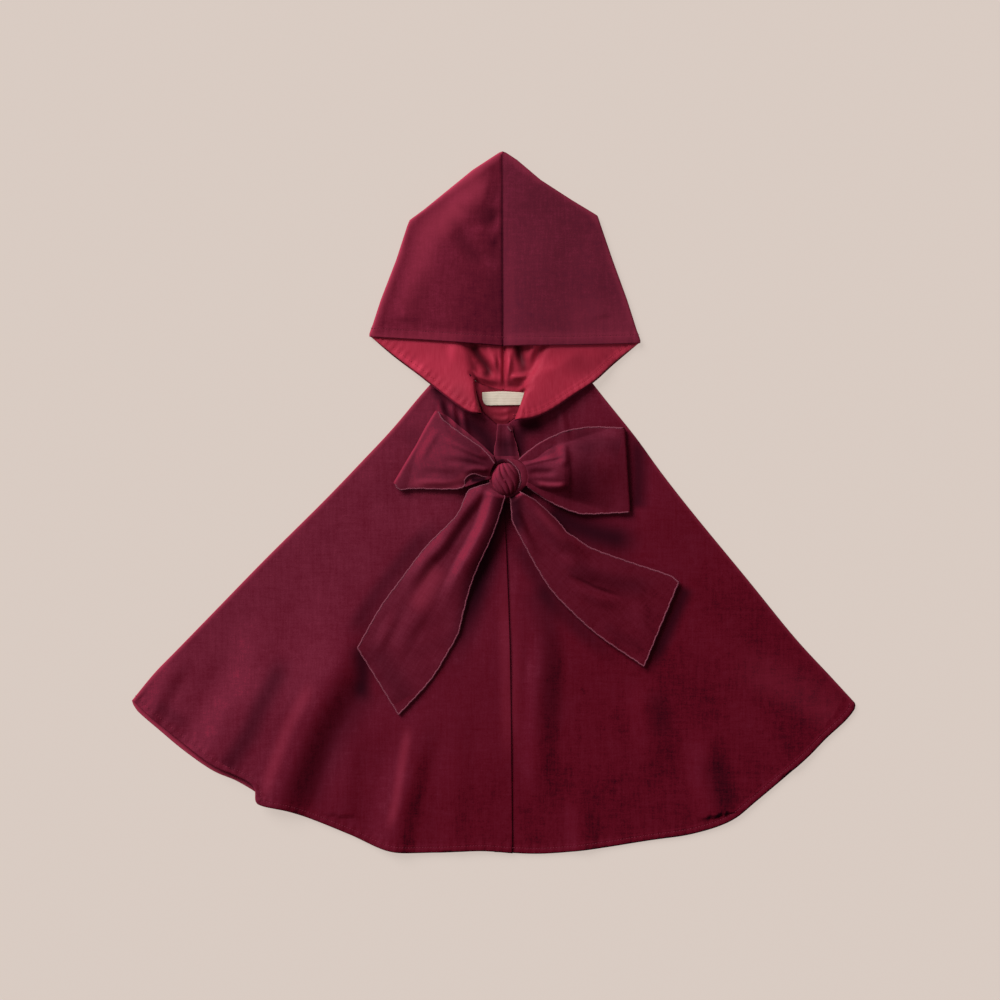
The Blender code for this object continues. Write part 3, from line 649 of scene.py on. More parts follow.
@dataclass(frozen=True)
class CottonVelvet:
    """Cotton velvet, woven with a second warp that is cut to a short pile.

    Its colour is painted paler towards the upper left of the cape and deeper towards the
    lower right, as a painted light falloff. A slope is painted pale where it faces against a
    set direction and dark where it faces along it, as painted shading; for most pieces that
    direction points to the lower right. Handling brushes the pile into clouds, and its rows
    stand in faint ribs along the grain.

    Attributes:
        name: Name of the material.
        bright: Colour of a slope that faces against painted_shade_direction, a painted highlight.
        pale: Colour of flat cloth at the lit end of the painted light falloff, at the upper left.
        middle: Colour of flat cloth between the two.
        deep: Colour of flat cloth at the shaded end of the painted light falloff, at the lower right.
        dark: Colour of a slope that faces along painted_shade_direction, as painted shade.
        painted_shade: Colour of the strokes of painted shade.
        raised_and_painted_light: Colour of the strokes of painted light.
        bloom: Colour of the pile's sheen.
        sheen: Strength of that sheen.
        lean_and_painted_falloff: Where the painted light falloff from pale to deep starts and ends,
        in mm from the middle towards the lower right.
        painted_shade_direction: Direction in which a slope has to face to be painted darker.
        slope: How strongly a slope of the cloth is painted lighter or darker by the way it faces.
        grain: Strength of the fine patterns.
        grain_turn: Direction of the ribs, in degrees anticlockwise from Y.
        cloud: Size of the brushed clouds in mm.
        rub: Size of the small rubbed spots in mm.
        rib: Spacing of the ribs in mm. Real pile rows are 0.5 mm apart, which is too
            fine to show, so they are drawn as coarse as they need to be.
        pile: Size of the pile's tufts in mm, drawn coarse for the same reason.
    """

    name: str = "cotton_velvet_cut_pile"
    bright: str = "#86243a"
    pale: str = "#682032"
    middle: str = "#5a1324"
    deep: str = "#520918"
    dark: str = "#1c030c"
    # Colours of painted shade and painted light, which the strokes mix in.
    painted_shade: str = "#1c060f"
    raised_and_painted_light: str = "#a8384f"
    bloom: str = "#f0708c"
    sheen: float = 0.06
    lean_and_painted_falloff: tuple[float, float] = (-190.0, 270.0)
    painted_shade_direction: tuple[float, float] = (0.85, -0.53)
    slope: float = 0.75
    grain: float = 1.35
    grain_turn: float = 0.0
    cloud: float = 60.0
    rub: float = 8.0
    rib: float = 2.3
    pile: float = 1.4

    def make(self) -> Material:
        """The finished material."""
        finish, shader = new_finish(
            self.name, Roughness=0.95, Metallic=0.0, IOR=1.47, Specular_IOR_Level=0.02,
            Sheen_Weight=self.sheen, Sheen_Roughness=0.25, Sheen_Tint=linear(self.bloom),
        )
        tree = finish.node_tree
        place_on = add_node(tree, "TexCoord", {})
        # Painted light falloff: a gradient from pale at the upper left of the cape to deep at the lower right.
        span = (self.lean_and_painted_falloff[1] - self.lean_and_painted_falloff[0]) * MM
        toward = add_node(tree, "Mapping", {"Rotation": (0.0, 0.0, math.radians(45.0)), "Scale": (1 / span,) * 3,
                                            "Location": (-self.lean_and_painted_falloff[0] * MM / span, 0.0, 0.0)},
                          {"Vector": place_on.outputs["Object"]})
        lean_and_painted_falloff = add_node(tree, "TexGradient", {}, {"Vector": toward.outputs[0]})
        turned = add_node(tree, "Mapping", {"Rotation": (0.0, 0.0, -math.radians(self.grain_turn))},
                          {"Vector": place_on.outputs["Object"]})
        along = add_node(tree, "Mapping", {"Scale": (1.0, 0.07, 1.0)}, {"Vector": turned.outputs[0]})
        across = add_node(tree, "Mapping", {"Scale": (0.1, 1.0, 1.0)}, {"Vector": turned.outputs[0]})
        # Each pattern's size, its detail, where it is laid and its share of the colour.
        noises = (
            (self.cloud, 3.0, turned, 0.26),
            (self.rub, 2.0, turned, 0.16 * self.grain),
            (self.rib, 1.0, along, 0.15 * self.grain),
            (self.rib, 1.0, across, 0.12 * self.grain),
            (self.pile, 2.0, turned, 0.30 * self.grain),
        )
        # Painted shading of slopes: a slope that faces along the shade direction is painted darker, one that faces
        # against it lighter.
        facing = add_node(tree, "VectorMath", {"operation": "DOT_PRODUCT", 1: (*self.painted_shade_direction, 0.0)},
                          {0: place_on.outputs["Normal"]})
        # The noises are about one half, so that half of their shares is taken off.
        start = 0.25 - sum(noise[3] for noise in noises) / 2
        flat = add_node(tree, "Math", {"operation": "MULTIPLY_ADD", 1: 0.5, 2: start}, {0: lean_and_painted_falloff.outputs["Fac"]})
        total = add_node(tree, "Math", {"operation": "MULTIPLY_ADD", 1: self.slope},
                         {0: facing.outputs["Value"], 2: flat.outputs[0]})
        fine = []
        for size, detail, source, strength in noises:
            noise = add_node(tree, "TexNoise", {"Scale": 1 / (size * MM), "Detail": detail, "Roughness": 0.6},
                             {"Vector": source.outputs[0]})
            total = add_node(tree, "Math", {"operation": "MULTIPLY_ADD", 1: strength},
                             {0: noise.outputs["Fac"], 2: total.outputs[0]})
            fine.append(noise)
        ramp = add_node(tree, "ValToRGB", {}, {"Fac": total.outputs[0]})
        colours = (self.bright, self.pale, self.middle, self.deep, self.dark)
        set_ramp(ramp, [(i / 4, colour) for i, colour in enumerate(colours)])
        add_painted_shading(tree, ramp.outputs["Color"], self.painted_shade, self.raised_and_painted_light, shader.inputs["Base Color"])
        # Bump height from the ribs and the pile's tufts only.
        pile_and_painted_shading = add_node(tree, "Math", {"operation": "ADD"}, {0: fine[2].outputs["Fac"], 1: fine[4].outputs["Fac"]})
        add_node(tree, "Bump", {"Strength": 0.3, "Distance": 0.2 * MM}, {"Height": pile_and_painted_shading.outputs[0]},
                 {"Normal": shader.inputs["Normal"]})
        return finish


@dataclass(frozen=True)
class SatinLining:
    """Polyester satin, woven with long floats of bright filament yarn.

    The floats lie side by side, so folds carry broad soft highlights and the cloth is
    far brighter than velvet of the same dye. Strokes of painted shade darken its colour in
    hollows and folds, and strokes of painted light lighten it along edges and fold tops.

    Attributes:
        name: Name of the material.
        hollow: Colour of painted shade in hollows and folds.
        shade: Colour in the thick of the weave.
        light: Colour where the floats catch light.
        painted_highlight: Colour of painted light along edges and the tops of folds.
        slub: Width of the yarn's uneven streaks in mm.
    """

    name: str = "polyester_satin_lining"
    hollow: str = "#34070f"
    shade: str = "#922134"
    light: str = "#9e2b3e"
    painted_highlight: str = "#c83852"
    slub: float = 1.2

    def make(self) -> Material:
        """The finished material."""
        finish, shader = new_finish(
            self.name, Roughness=0.55, Metallic=0.0, IOR=1.5, Specular_IOR_Level=0.13,
            Specular_Tint=linear("#ffaabc"), Sheen_Weight=0.05, Sheen_Roughness=0.3,
            Sheen_Tint=linear("#e88a98"),
        )
        tree = finish.node_tree
        place_on = add_node(tree, "TexCoord", {})
        along = add_node(tree, "Mapping", {"Scale": (1.0, 0.08, 1.0)}, {"Vector": place_on.outputs["Object"]})
        slubs = add_node(tree, "TexNoise", {"Scale": 1 / (self.slub * MM), "Detail": 3.0},
                         {"Vector": along.outputs[0]})
        ramp = add_node(tree, "ValToRGB", {}, {"Fac": slubs.outputs["Fac"]})
        set_ramp(ramp, [(0.3, self.shade), (0.75, self.light)])
        # Strokes of painted shade in hollows and painted highlights along edges and fold tops.
        add_painted_shading(tree, ramp.outputs["Color"], self.hollow, self.painted_highlight, shader.inputs["Base Color"])
        add_node(tree, "Bump", {"Strength": 0.12, "Distance": 0.08 * MM},
                 {"Height": slubs.outputs["Fac"]}, {"Normal": shader.inputs["Normal"]})
        return finish


@dataclass(frozen=True)
class WovenTape:
    """Cotton tape in plain weave, whose ribs of weft show as fine level lines.

    Attributes:
        name: Name of the material.
        hollow: Colour between the ribs.
        crown: Colour on top of them.
        rib: Spacing of the ribs in mm, which is the real one.
    """

    name: str = "woven_cotton_tape"
    hollow: str = "#bcae9c"
    crown: str = "#d3c6b5"
    rib: float = 0.9

    def make(self) -> Material:
        """The finished material."""
        finish, shader = new_finish(self.name, Roughness=0.8, Metallic=0.0, IOR=1.5, Specular_IOR_Level=0.3,
                                    Sheen_Weight=0.1, Sheen_Roughness=0.5)
        tree = finish.node_tree
        place_on = add_node(tree, "TexCoord", {})
        waves = add_node(tree, "TexWave", {"bands_direction": "Y", "Scale": 1 / (3.14 * self.rib * MM) / 2,
                                           "Distortion": 1.2, "Detail": 2.0, "Detail Scale": 2.0},
                         {"Vector": place_on.outputs["Object"]})
        wear = add_node(tree, "TexNoise", {"Scale": 1 / (6.0 * MM), "Detail": 4.0},
                        {"Vector": place_on.outputs["Object"]})
        both = add_node(tree, "Math", {"operation": "MULTIPLY_ADD", 1: 0.5},
                        {0: waves.outputs["Fac"], 2: wear.outputs["Fac"]})
        ramp = add_node(tree, "ValToRGB", {}, {"Fac": both.outputs[0]}, {"Color": shader.inputs["Base Color"]})
        set_ramp(ramp, [(0.35, self.hollow), (0.95, self.crown)])
        add_node(tree, "Bump", {"Strength": 0.4, "Distance": 0.12 * MM},
                 {"Height": waves.outputs["Fac"]}, {"Normal": shader.inputs["Normal"]})
        return finish


@dataclass(frozen=True)
class SpunThread:
    """Spun polyester sewing thread, matt and slightly hairy, so it shows as a pale dry line.

    Attributes:
        name: Name of the material.
        shade: Colour between the strands.
        light: Colour on top of them.
        strand: Spacing of the strands in mm, which is the real one.
    """

    name: str
    shade: str
    light: str
    strand: float = 0.5

    def make(self) -> Material:
        """The finished material."""
        finish, shader = new_finish(self.name, Roughness=0.75, Metallic=0.0, IOR=1.5, Specular_IOR_Level=0.15)
        tree = finish.node_tree
        place_on = add_node(tree, "TexCoord", {})
        strands = add_node(tree, "TexNoise", {"Scale": 1 / (self.strand * MM), "Detail": 2.0},
                           {"Vector": place_on.outputs["Object"]})
        ramp = add_node(tree, "ValToRGB", {}, {"Fac": strands.outputs["Fac"]}, {"Color": shader.inputs["Base Color"]})
        set_ramp(ramp, [(0.35, self.shade), (0.65, self.light)])
        add_node(tree, "Bump", {"Strength": 0.3, "Distance": 0.1 * MM},
                 {"Height": strands.outputs["Fac"]}, {"Normal": shader.inputs["Normal"]})
        return finish


@dataclass(frozen=True)
class BackgroundPaper:
    """Matt uncoated paper, rolled, so it has no shine and hardly any grain.

    It is lit through from behind as well, which keeps the shadows on it faint.

    Attributes:
        name: Name of the material.
        colour: Its colour by the light from above.
        glow: Colour of the light that comes through it.
        glow_strength: Strength of that light.
        fibre: Size of the clouds of fibre in mm.
    """

    name: str = "uncoated_background_paper"
    colour: str = "#615b57"
    glow: str = "#d7c9c0"
    glow_strength: float = 0.84
    fibre: float = 3.0

    def make(self) -> Material:
        """The finished material."""
        finish, shader = new_finish(self.name, Roughness=0.95, Metallic=0.0, IOR=1.5, Specular_IOR_Level=0.1,
                                    Base_Color=linear(self.colour), Emission_Color=linear(self.glow),
                                    Emission_Strength=self.glow_strength)
        tree = finish.node_tree
        place_on = add_node(tree, "TexCoord", {})
        fibres = add_node(tree, "TexNoise", {"Scale": 1 / (self.fibre * MM), "Detail": 3.0},
                          {"Vector": place_on.outputs["Object"]})
        add_node(tree, "Bump", {"Strength": 0.05, "Distance": 0.05 * MM},
                 {"Height": fibres.outputs["Fac"]}, {"Normal": shader.inputs["Normal"]})
        return finish


@dataclass
class Finishes:
    """Every material of the cape, made once."""

    velvet: Material = field(default_factory=lambda: CottonVelvet().make())
    # The hood's sides are copies of the velvet, each with its own colours, painted light falloff and painted slope
    # shading.
    hood_left: Material = field(default_factory=lambda: CottonVelvet(
        name="cotton_velvet_hood_left", pale="#681c2f", middle="#5c1626", deep="#501022", lean_and_painted_falloff=(-560.0, 110.0),
        grain=2.2).make())
    hood_right: Material = field(default_factory=lambda: CottonVelvet(
        name="cotton_velvet_hood_right", pale="#6a2034", middle="#5c1b2b", deep="#54192a", lean_and_painted_falloff=(-460.0, 160.0),
        painted_shade_direction=(-0.5, 0.3), grain=2.4).make())
    satin: Material = field(default_factory=lambda: SatinLining().make())
    tape: Material = field(default_factory=lambda: WovenTape().make())
    overlock: Material = field(default_factory=lambda: SpunThread(
        "overlock_thread", "#5e2434", "#80404f").make())
    thread: Material = field(default_factory=lambda: SpunThread(
        "topstitch_thread", "#5c1427", "#83283c").make())
    satin_thread: Material = field(default_factory=lambda: SpunThread(
        "lining_stitch_thread", "#9a1a30", "#c23a50").make())

    def ribbon(self, piece: str, turn: float) -> Material:
        """Velvet of the ribbon, with its ribs turned to run along a piece of it."""
        # Each piece gets its own copy, with the painted light falloff and a weaker painted slope shading.
        return CottonVelvet(name=f"velvet_ribbon_{piece}", bright="#7c2236", pale="#642031", middle="#581525",
                            deep="#4e0b19", grain_turn=turn, cloud=40.0, lean_and_painted_falloff=(-120.0, 230.0), grain=1.3,
                            slope=0.5).make()


# Sewing

@dataclass(frozen=True)
class Overlock:
    """Overlocked edge: thread wrapped closely round the cut edge of a cloth.

    Attributes:
        radius: Radius of the bead of thread in mm.
        wrap: Distance from one wrap of thread to the next in mm.
        swell: Swelling of the bead at each wrap, as a share of its radius.
        waver: How far the bead wavers to either side of the edge in mm.
    """

    radius: float = 0.9
    wrap: float = 2.0
    swell: float = 0.14
    waver: float = 0.35

    def bead(self, path: Array) -> MeshData:
        """Bead of thread along a path in three dimensions."""
        step = self.wrap / 4
        line = resampled(path, step)
        place_along = np.arange(len(line)) * step
        uneven = 0.6 * np.sin(place_along / 2.3) + 0.4 * np.sin(place_along / 0.9 + 1.0)
        ends = smooth(0.0, 4.0, np.minimum(place_along, place_along[::-1]))
        line[:, :2] += side_directions(line[:, :2]) * (self.waver * uneven * ends)[:, None]
        swelling = 1 + self.swell * np.cos(2 * math.pi * place_along / self.wrap) + 0.1 * uneven
        return tube(line, self.radius * swelling)


@dataclass(frozen=True)
class Topstitch:
    """A row of stitches through a turned edge.

    Attributes:
        line: The cloth's edge.
        inset: Distance of the row in from the edge in mm.
        pitch: Distance from one stitch to the next in mm.
        length: Length of a stitch in mm.
        radius: Radius of the thread in mm.
        depth: How far the row pulls the cloth in, in mm.
        groove_width: Half width of the groove that it makes, in mm.
        body: How much thicker the turned edge is than the cloth, in mm.
        pucker: Height of the puckers that the row draws up, in mm.
        pucker_length: Length of a pucker in mm.
    """

    line: Array
    inset: float
    pitch: float = 3.1
    length: float = 2.3
    radius: float = 0.28
    depth: float = 0.45
    groove_width: float = 0.9
    body: float = 0.55
    pucker: float = 0.22
    pucker_length: float = 9.0

    def relief(self, points: Array) -> Array:
        """Height that the turned and stitched edge adds to the cloth's upper side, in mm."""
        added = np.zeros(len(points))
        near = close_to(self.line, points, 3 * self.inset)
        step = 5.0
        coarse = resampled(self.line, step)
        away, _, along = nearest(coarse, points[near])
        place_along = along * step * (len(coarse) - 1)
        turned = self.body * smooth(-0.5, 1.0, away) * (1 - smooth(self.inset + 0.6, self.inset + 2.4, away))
        groove = self.depth * np.exp(-(((away - self.inset) / self.groove_width) ** 2))
        uneven = 1.3 * np.sin(place_along / 31.0) + 0.8 * np.sin(place_along / 12.7)
        wave = np.sin(2 * math.pi * place_along / self.pucker_length + uneven)
        drawn = self.pucker * wave * np.exp(-(((away - self.inset) / self.inset) ** 2)) * smooth(0.0, 2.0, away)
        added[near] = turned - groove + drawn
        return added

    def stitches(self, top: Heights) -> MeshData:
        """The row's stitches on a cloth's upper side.

        Args:
            top: Height of that side.

        Returns:
            One mesh, an oval bead for each stitch.
        """
        row = self.line + side_directions(self.line) * self.inset
        row = resampled(row[edge_distances(self.line, row) > 0.9 * self.inset], self.pitch)
        along = np.gradient(row, axis=0)
        along /= np.linalg.norm(along, axis=1)[:, None]
        half = along * self.length / 2
        reach, back = (np.column_stack([end, top(end)]) for end in (row + half, row - half))
        rings, sides = 6, 6
        share = np.linspace(-0.97, 0.97, rings)
        turn = 2 * math.pi * np.arange(sides) / sides
        width = self.radius * np.sqrt(1 - share**2) + 0.03
        middle = (reach + back)[:, None] / 2 + (reach - back)[:, None] / 2 * share[:, None]
        middle[:, :, 2] += self.radius * (0.75 - 1.1 * share**2)
        across = np.column_stack([-along[:, 1], along[:, 0], np.zeros(len(row))])
        rim = across[:, None, None] * np.cos(turn)[:, None] + np.array([0.0, 0.0, 1.0]) * np.sin(turn)[:, None]
        vertices = middle[:, :, None] + rim * width[:, None, None]
        rows = grid_of(rings, sides)
        faces = [quads(rows)[:, ::-1]]
        for ring_row, step in ((rows[0], 1), (rows[-1], -1)):
            fan = [[ring_row[0], ring_row[k], ring_row[k + 1]][::step] for k in range(1, sides - 1)]
            faces.append(np.array(fan))
        one = np.vstack(faces)
        starts = np.arange(len(row)) * rings * sides
        return MeshData(vertices.reshape(-1, 3), (one[None] + starts[:, None, None]).reshape(-1, 3))


# The cape

class Side(NamedTuple):
    """Angle of the cape's sides at a radius, in degrees from straight down, positive to the right."""

    radius: float
    left: float
    right: float


class Ring(NamedTuple):
    """Radius of an edge of the fronts and of the back at an angle."""

    angle: float
    front: float
    back: float


def column(rows: Sequence[NamedTuple], key: str, name: str, value: float | Array) -> Array:
    """Value of a table's column at a key, read between its rows."""
    return np.interp(value, [getattr(r, key) for r in rows], [getattr(r, name) for r in rows])


@dataclass
class Cape:
    """The back and the two fronts, cut as parts of a flattened cone and laid on each other.

    Attributes:
        finishes: The materials.
        cone: Plan place of the cone's point.
        velvet: Thickness of the velvet.
        gap: Clearance between cloths that lie on each other.
        front_lap: How far the left front laps over the right one.
        lap_angles: Angles between which the left front rises onto the right one.
        lap_fall: Angles between which what lies on both fronts comes down again.
        lap_step: Distances past the left front's edge over which a ribbon steps down.
        resting: Extra clearance under what lies on the fronts.
        hem_turn: Depth of the stitched hem.
        painted_hem_highlight: Angle up to which a painted highlight runs along the back's hem, from the left.
        wave_height: Height of the gentle waves of the fronts.
        wave_length: Usual length of those waves.
        back_spacing: Mesh spacing of the back, most of which the fronts hide.
        front_spacing: Mesh spacing of the fronts.
        sides: Its sides.
        hem: Its lower edges.
        neck: Its neck edges.
        front_edge: Right edge of the left front.
        left_folds: Ridges of the left front.
        right_folds: Ridges of the right front.
        painted_shading_strokes: Painted shade, mostly the shadows around the bow, and painted light where a height is
            below 0.
        neck_puckers: Small ridges that the gathered neck draws up.
    """

    finishes: Finishes
    cone: Point = (28.0, 224.0)
    velvet: float = 1.3
    gap: float = 0.3
    front_lap: float = 20.0
    lap_angles: Point = (-41.0, -18.0)
    lap_fall: Point = (6.0, 24.0)
    lap_step: Point = (4.0, 40.0)
    resting: float = 0.7
    hem_turn: float = 6.1
    painted_hem_highlight: float = -27.6
    wave_height: float = 0.35
    wave_length: float = 85.0
    back_spacing: float = 5.0
    front_spacing: float = 2.6
    sides: tuple[Side, ...] = (
        Side(104, -46.5, 41.5), Side(145, -45.6, 40.5), Side(200, -44.1, 40.0), Side(250, -43.9, 39.2),
        Side(310, -43.9, 39.0), Side(400, -44.2, 39.1), Side(480, -44.2, 39.1), Side(540, -44.2, 39.5),
        Side(575, -44.2, 39.7), Side(613, -43.9, 39.7),
    )
    hem: tuple[Ring, ...] = (
        Ring(-43.9, 613, 614), Ring(-42.8, 613, 618), Ring(-39.7, 613, 618), Ring(-36.5, 613, 619),
        Ring(-33.0, 613, 619), Ring(-30.5, 609, 615), Ring(-28.5, 610, 615), Ring(-27.6, 623, 616),
        Ring(-26.7, 624, 615), Ring(-24.3, 618, 612), Ring(-21.2, 616, 611), Ring(-17.5, 618, 612),
        Ring(-13.1, 624, 616), Ring(-8.5, 616, 611), Ring(-3.9, 609, 604), Ring(2.3, 611, 606),
        Ring(7.3, 611, 606), Ring(13.5, 613, 608), Ring(18.0, 619, 613), Ring(22.0, 620, 614),
        Ring(25.4, 611, 606), Ring(31.7, 597, 593), Ring(35.0, 590, 586), Ring(37.7, 587, 583),
        Ring(39.3, 583, 581), Ring(39.7, 578, 576),
    )
    neck: tuple[Ring, ...] = (
        Ring(-46.5, 104, 103), Ring(-35.0, 106, 103), Ring(-24.5, 113, 103), Ring(-17.6, 131, 103),
        Ring(-8.0, 144, 103), Ring(-2.2, 133, 103), Ring(8.0, 126, 103), Ring(25.0, 112, 103),
        Ring(41.5, 106, 103),
    )
    front_edge: Line = ((8, 81), (11, 30), (13, -20), (18, -152), (20, -280), (21, -384))
    left_folds: Folds = (
        Fold(((-150, -95), (-160, -135), (-171, -174), (-190, -214), (-206, -245), (-222, -284), (-240, -330),
              (-252, -365)), 9.5, 44, 88, 0.5, narrow=0.8),
        Fold(((-76, -225), (-82, -262), (-93, -306), (-103, -350), (-110, -400)), 3.8, 24, 36, 0.5),
        Fold(((-215, -112), (-235, -150), (-259, -196), (-285, -240), (-312, -290)), 6.8, 60, 46, 0.75),
        Fold(((-330, -160), (-352, -188), (-368, -218), (-380, -242)), 1.8, 16, 20, 0.5),
        Fold(((-150, -225), (-160, -290), (-166, -345)), 1.4, 24, 30, 0.5),
        Fold(((-36, -190), (-40, -290), (-44, -384)), 1, 22, 26, 0.5),
    )
    right_folds: Folds = (
        Fold(((68, -120), (58, -160), (51, -218), (49, -284), (54, -345)), 2.8, 26, 22, 0.35, 0.3),
        Fold(((90, -300), (95, -345), (98, -390)), 2, 24, 20, 0.6),
        Fold(((164, -190), (168, -230), (172, -262), (188, -305)), 2.4, 36, 26, 0.35, 0.35),
        Fold(((224, -240), (232, -275), (238, -306), (246, -345)), 3, 28, 28, 0.45),
        Fold(((215, -110), (296, -228), (336, -290)), 2, 36, 34, 0.45),
        Fold(((120, 20), (200, -60), (260, -130)), 1.4, 34, 34, 0.4, 0.4),
    )
    # Painted shade, mostly the shadows around the bow, and painted light where a height is below 0.
    painted_shading_strokes: Folds = (
        Fold(((-42, 96), (-22, 82), (-6, 66), (0, 40)), 0.85, 20, 20, 0.25),
        Fold(((60, 88), (42, 84), (30, 76), (27, 52)), 0.8, 16, 18, 0.25),
        Fold(((8, 2), (-4, -34), (-10, -66), (-22, -108), (-36, -152), (-50, -198)), 0.9, 24, 26, 0, 0.55),
        Fold(((-50, -12), (-80, -40), (-97, -60), (-118, -86), (-141, -118), (-160, -152)), 0.42, 24, 14, 0.3, 0.15),
        Fold(((-148, -150), (-143, -186), (-146, -226)), 0.78, 16, 18, 0.25, 0.4),
        Fold(((-140, -196), (-160, -232), (-184, -272), (-202, -310), (-212, -345)), 0.36, 32, 34, 0.1, 0.2),
        Fold(((-196, -192), (-212, -222), (-226, -249), (-236, -276), (-246, -304), (-254, -335)), -0.2, 12, 12,
             0.2, 0.2),
        Fold(((-228, -162), (-240, -194), (-257, -226), (-270, -256), (-292, -290)), 0.5, 20, 18, 0.25),
        Fold(((-372, -222), (-352, -236), (-330, -250)), 0.2, 14, 14, 0.1, 0.4),
        Fold(((-64, 126), (-57, 108), (-46, 92), (-34, 80)), 0.75, 10, 10, 0.02, 0.3),
        Fold(((-92, 11), (-64, 9), (-36, 8)), -0.2, 6, 6, 0.1, 0.1),
        Fold(((-92, -240), (-100, -284), (-107, -328), (-116, -365)), -0.22, 9, 9, 0.2, 0.2),
        Fold(((52, -4), (85, -24), (112, -34), (135, -40), (168, -50)), 0.85, 26, 28, 0.15, 0.3),
        Fold(((157, -10), (159, 30), (156, 84)), 0.68, 10, 18, 0.1, 0.3),
        Fold(((46, -86), (62, -140), (64, -218), (58, -290)), 0.36, 20, 26, 0.1, 0.4),
        Fold(((24, -40), (52, -88), (84, -128), (150, -186)), 0.45, 12, 18, 0.1, 0.35),
        Fold(((214, -90), (188, -150), (168, -190)), 0.75, 14, 16, 0.1, 0.3),
        Fold(((-96, 84), (-86, 68), (-74, 50)), 0.2, 18, 18, 0.3, 0.3),
        Fold(((178, -200), (184, -240), (188, -262)), 0.3, 20, 22, 0.3, 0.3),
        Fold(((238, -270), (250, -310), (262, -340)), 0.3, 24, 26, 0.4, 0.2),
        Fold(((10, -60), (13, -150), (16, -300)), -0.12, 22, 12, 0.4, 0.3),
        Fold(((250, -170), (330, -210), (372, -235)), -0.08, 40, 30, 0.4),
    )
    neck_puckers: Folds = (
        Fold(((-60, 118), (-56, 98), (-50, 80)), 2.2, 5, 5, 0.3, 0.5),
        Fold(((-47, 110), (-43, 92), (-38, 72)), 2.6, 5, 5.5, 0.3, 0.5),
        Fold(((-35, 104), (-31, 84), (-25, 66)), 2.2, 5, 5, 0.3, 0.5),
        Fold(((72, 104), (78, 84), (84, 66)), 1.4, 6, 6, 0.3, 0.6),
    )

    @property
    def front_base(self) -> float:
        """Height of the fronts' underside."""
        return self.velvet + self.gap

    def at_polar(self, angle: float, radius: float) -> Point:
        """Plan point at an angle and a radius about the cone's point."""
        turn = math.radians(angle)
        return self.cone[0] + radius * math.sin(turn), self.cone[1] - radius * math.cos(turn)

    def polar(self, points: Array) -> tuple[Array, Array]:
        """Angle in degrees and radius of plan points about the cone's point."""
        x, y = points[:, 0] - self.cone[0], self.cone[1] - points[:, 1]
        return np.degrees(np.arctan2(x, y)), np.hypot(x, y)

    def lap_rise(self, points: Array) -> Array:
        """Extra height where the fronts lap, which comes and goes gently to either side."""
        angle, _ = self.polar(points)
        return self.front_base * (smooth(*self.lap_angles, angle) - smooth(*self.lap_fall, angle))

    def past_edge(self, points: Array) -> Array:
        """How far each point is to the right of the left front's edge, in mm."""
        edge = np.array(self.front_edge, float)[::-1]
        return points[:, 0] - np.interp(points[:, 1], edge[:, 1], edge[:, 0])

    def left_under(self, points: Array) -> Array:
        """Underside of the left front."""
        soft = folds_lift(self.left_folds + self.neck_puckers, points)
        return self.front_base + self.lap_rise(points) + soft + self.waves(points, 3)

    def right_under(self, points: Array) -> Array:
        """Underside of the right front."""
        soft = folds_lift(self.right_folds + self.neck_puckers, points)
        lap = smooth(0.0, 12.0, self.past_edge(points))
        return self.front_base + (soft + self.waves(points, 8)) * lap

    def waves(self, points: Array, seed: int) -> Array:
        """Gentle waves of a front, none at the cape's two sides, where front and back meet."""
        angle, _ = self.polar(points)
        inner = smooth(-44.0, -38.0, angle) * (1 - smooth(34.0, 39.5, angle))
        return self.wave_height * (1 + ripple(points, self.wave_length, seed)) * inner

    def carries(self, points: Array) -> Array:
        """Height on which a thing that lies on the fronts rests, with the clearance under it."""
        past = self.past_edge(points)
        on_left = 1 - smooth(0.0, 8.0, past)
        soft = folds_lift(self.left_folds + self.neck_puckers, points) * on_left
        soft = soft + folds_lift(self.right_folds + self.neck_puckers, points) * (1 - on_left)
        lap = np.minimum(self.lap_rise(points), self.front_base * (1 - smooth(*self.lap_step, past)))
        return self.front_base + self.velvet + self.gap + self.resting + lap + soft

    def ring_line(self, rows: Sequence[Ring], name: str, low: float, high: float, spacing: float) -> Array:
        """Smooth edge at the radii of a table's column between two angles."""
        angles = [low] + [row.angle for row in rows if low + 0.4 < row.angle < high - 0.4] + [high]
        return flowing([self.at_polar(a, column(rows, "angle", name, a)) for a in angles], spacing)

    def side_line(self, name: str, inner: float, outer: float, spacing: float) -> Array:
        """Line down one side of the cape between two radii."""
        radii = [inner] + [row.radius for row in self.sides if inner + 8 < row.radius < outer - 8] + [outer]
        return flowing([self.at_polar(column(self.sides, "radius", name, r), r) for r in radii], spacing)

    def angle_of(self, point: Point) -> float:
        """Angle of one plan point about the cone's point."""
        return float(self.polar(np.array([point], float))[0][0])

    def pile_and_painted_shading(self, points: Array) -> Array:
        """Painted shade and painted light of the fronts at plan points, with painted highlights along the sides."""
        # Painted highlights along both sides of the fronts, stronger on the left.
        rims = [
            Fold(tuple(map(tuple, self.side_line(name, 104, 613, 20.0))), height, 5.0, 5.0, rise=0.02)
            for name, height in (("left", -0.7), ("right", -0.15))
        ]
        return folds_lift([*self.painted_shading_strokes, *rims], points)

    def hem_stitch(self, edge: Array) -> Topstitch:
        """Stitch row of a hem, with the cloth to the left of its edge."""
        return Topstitch(edge, self.hem_turn)

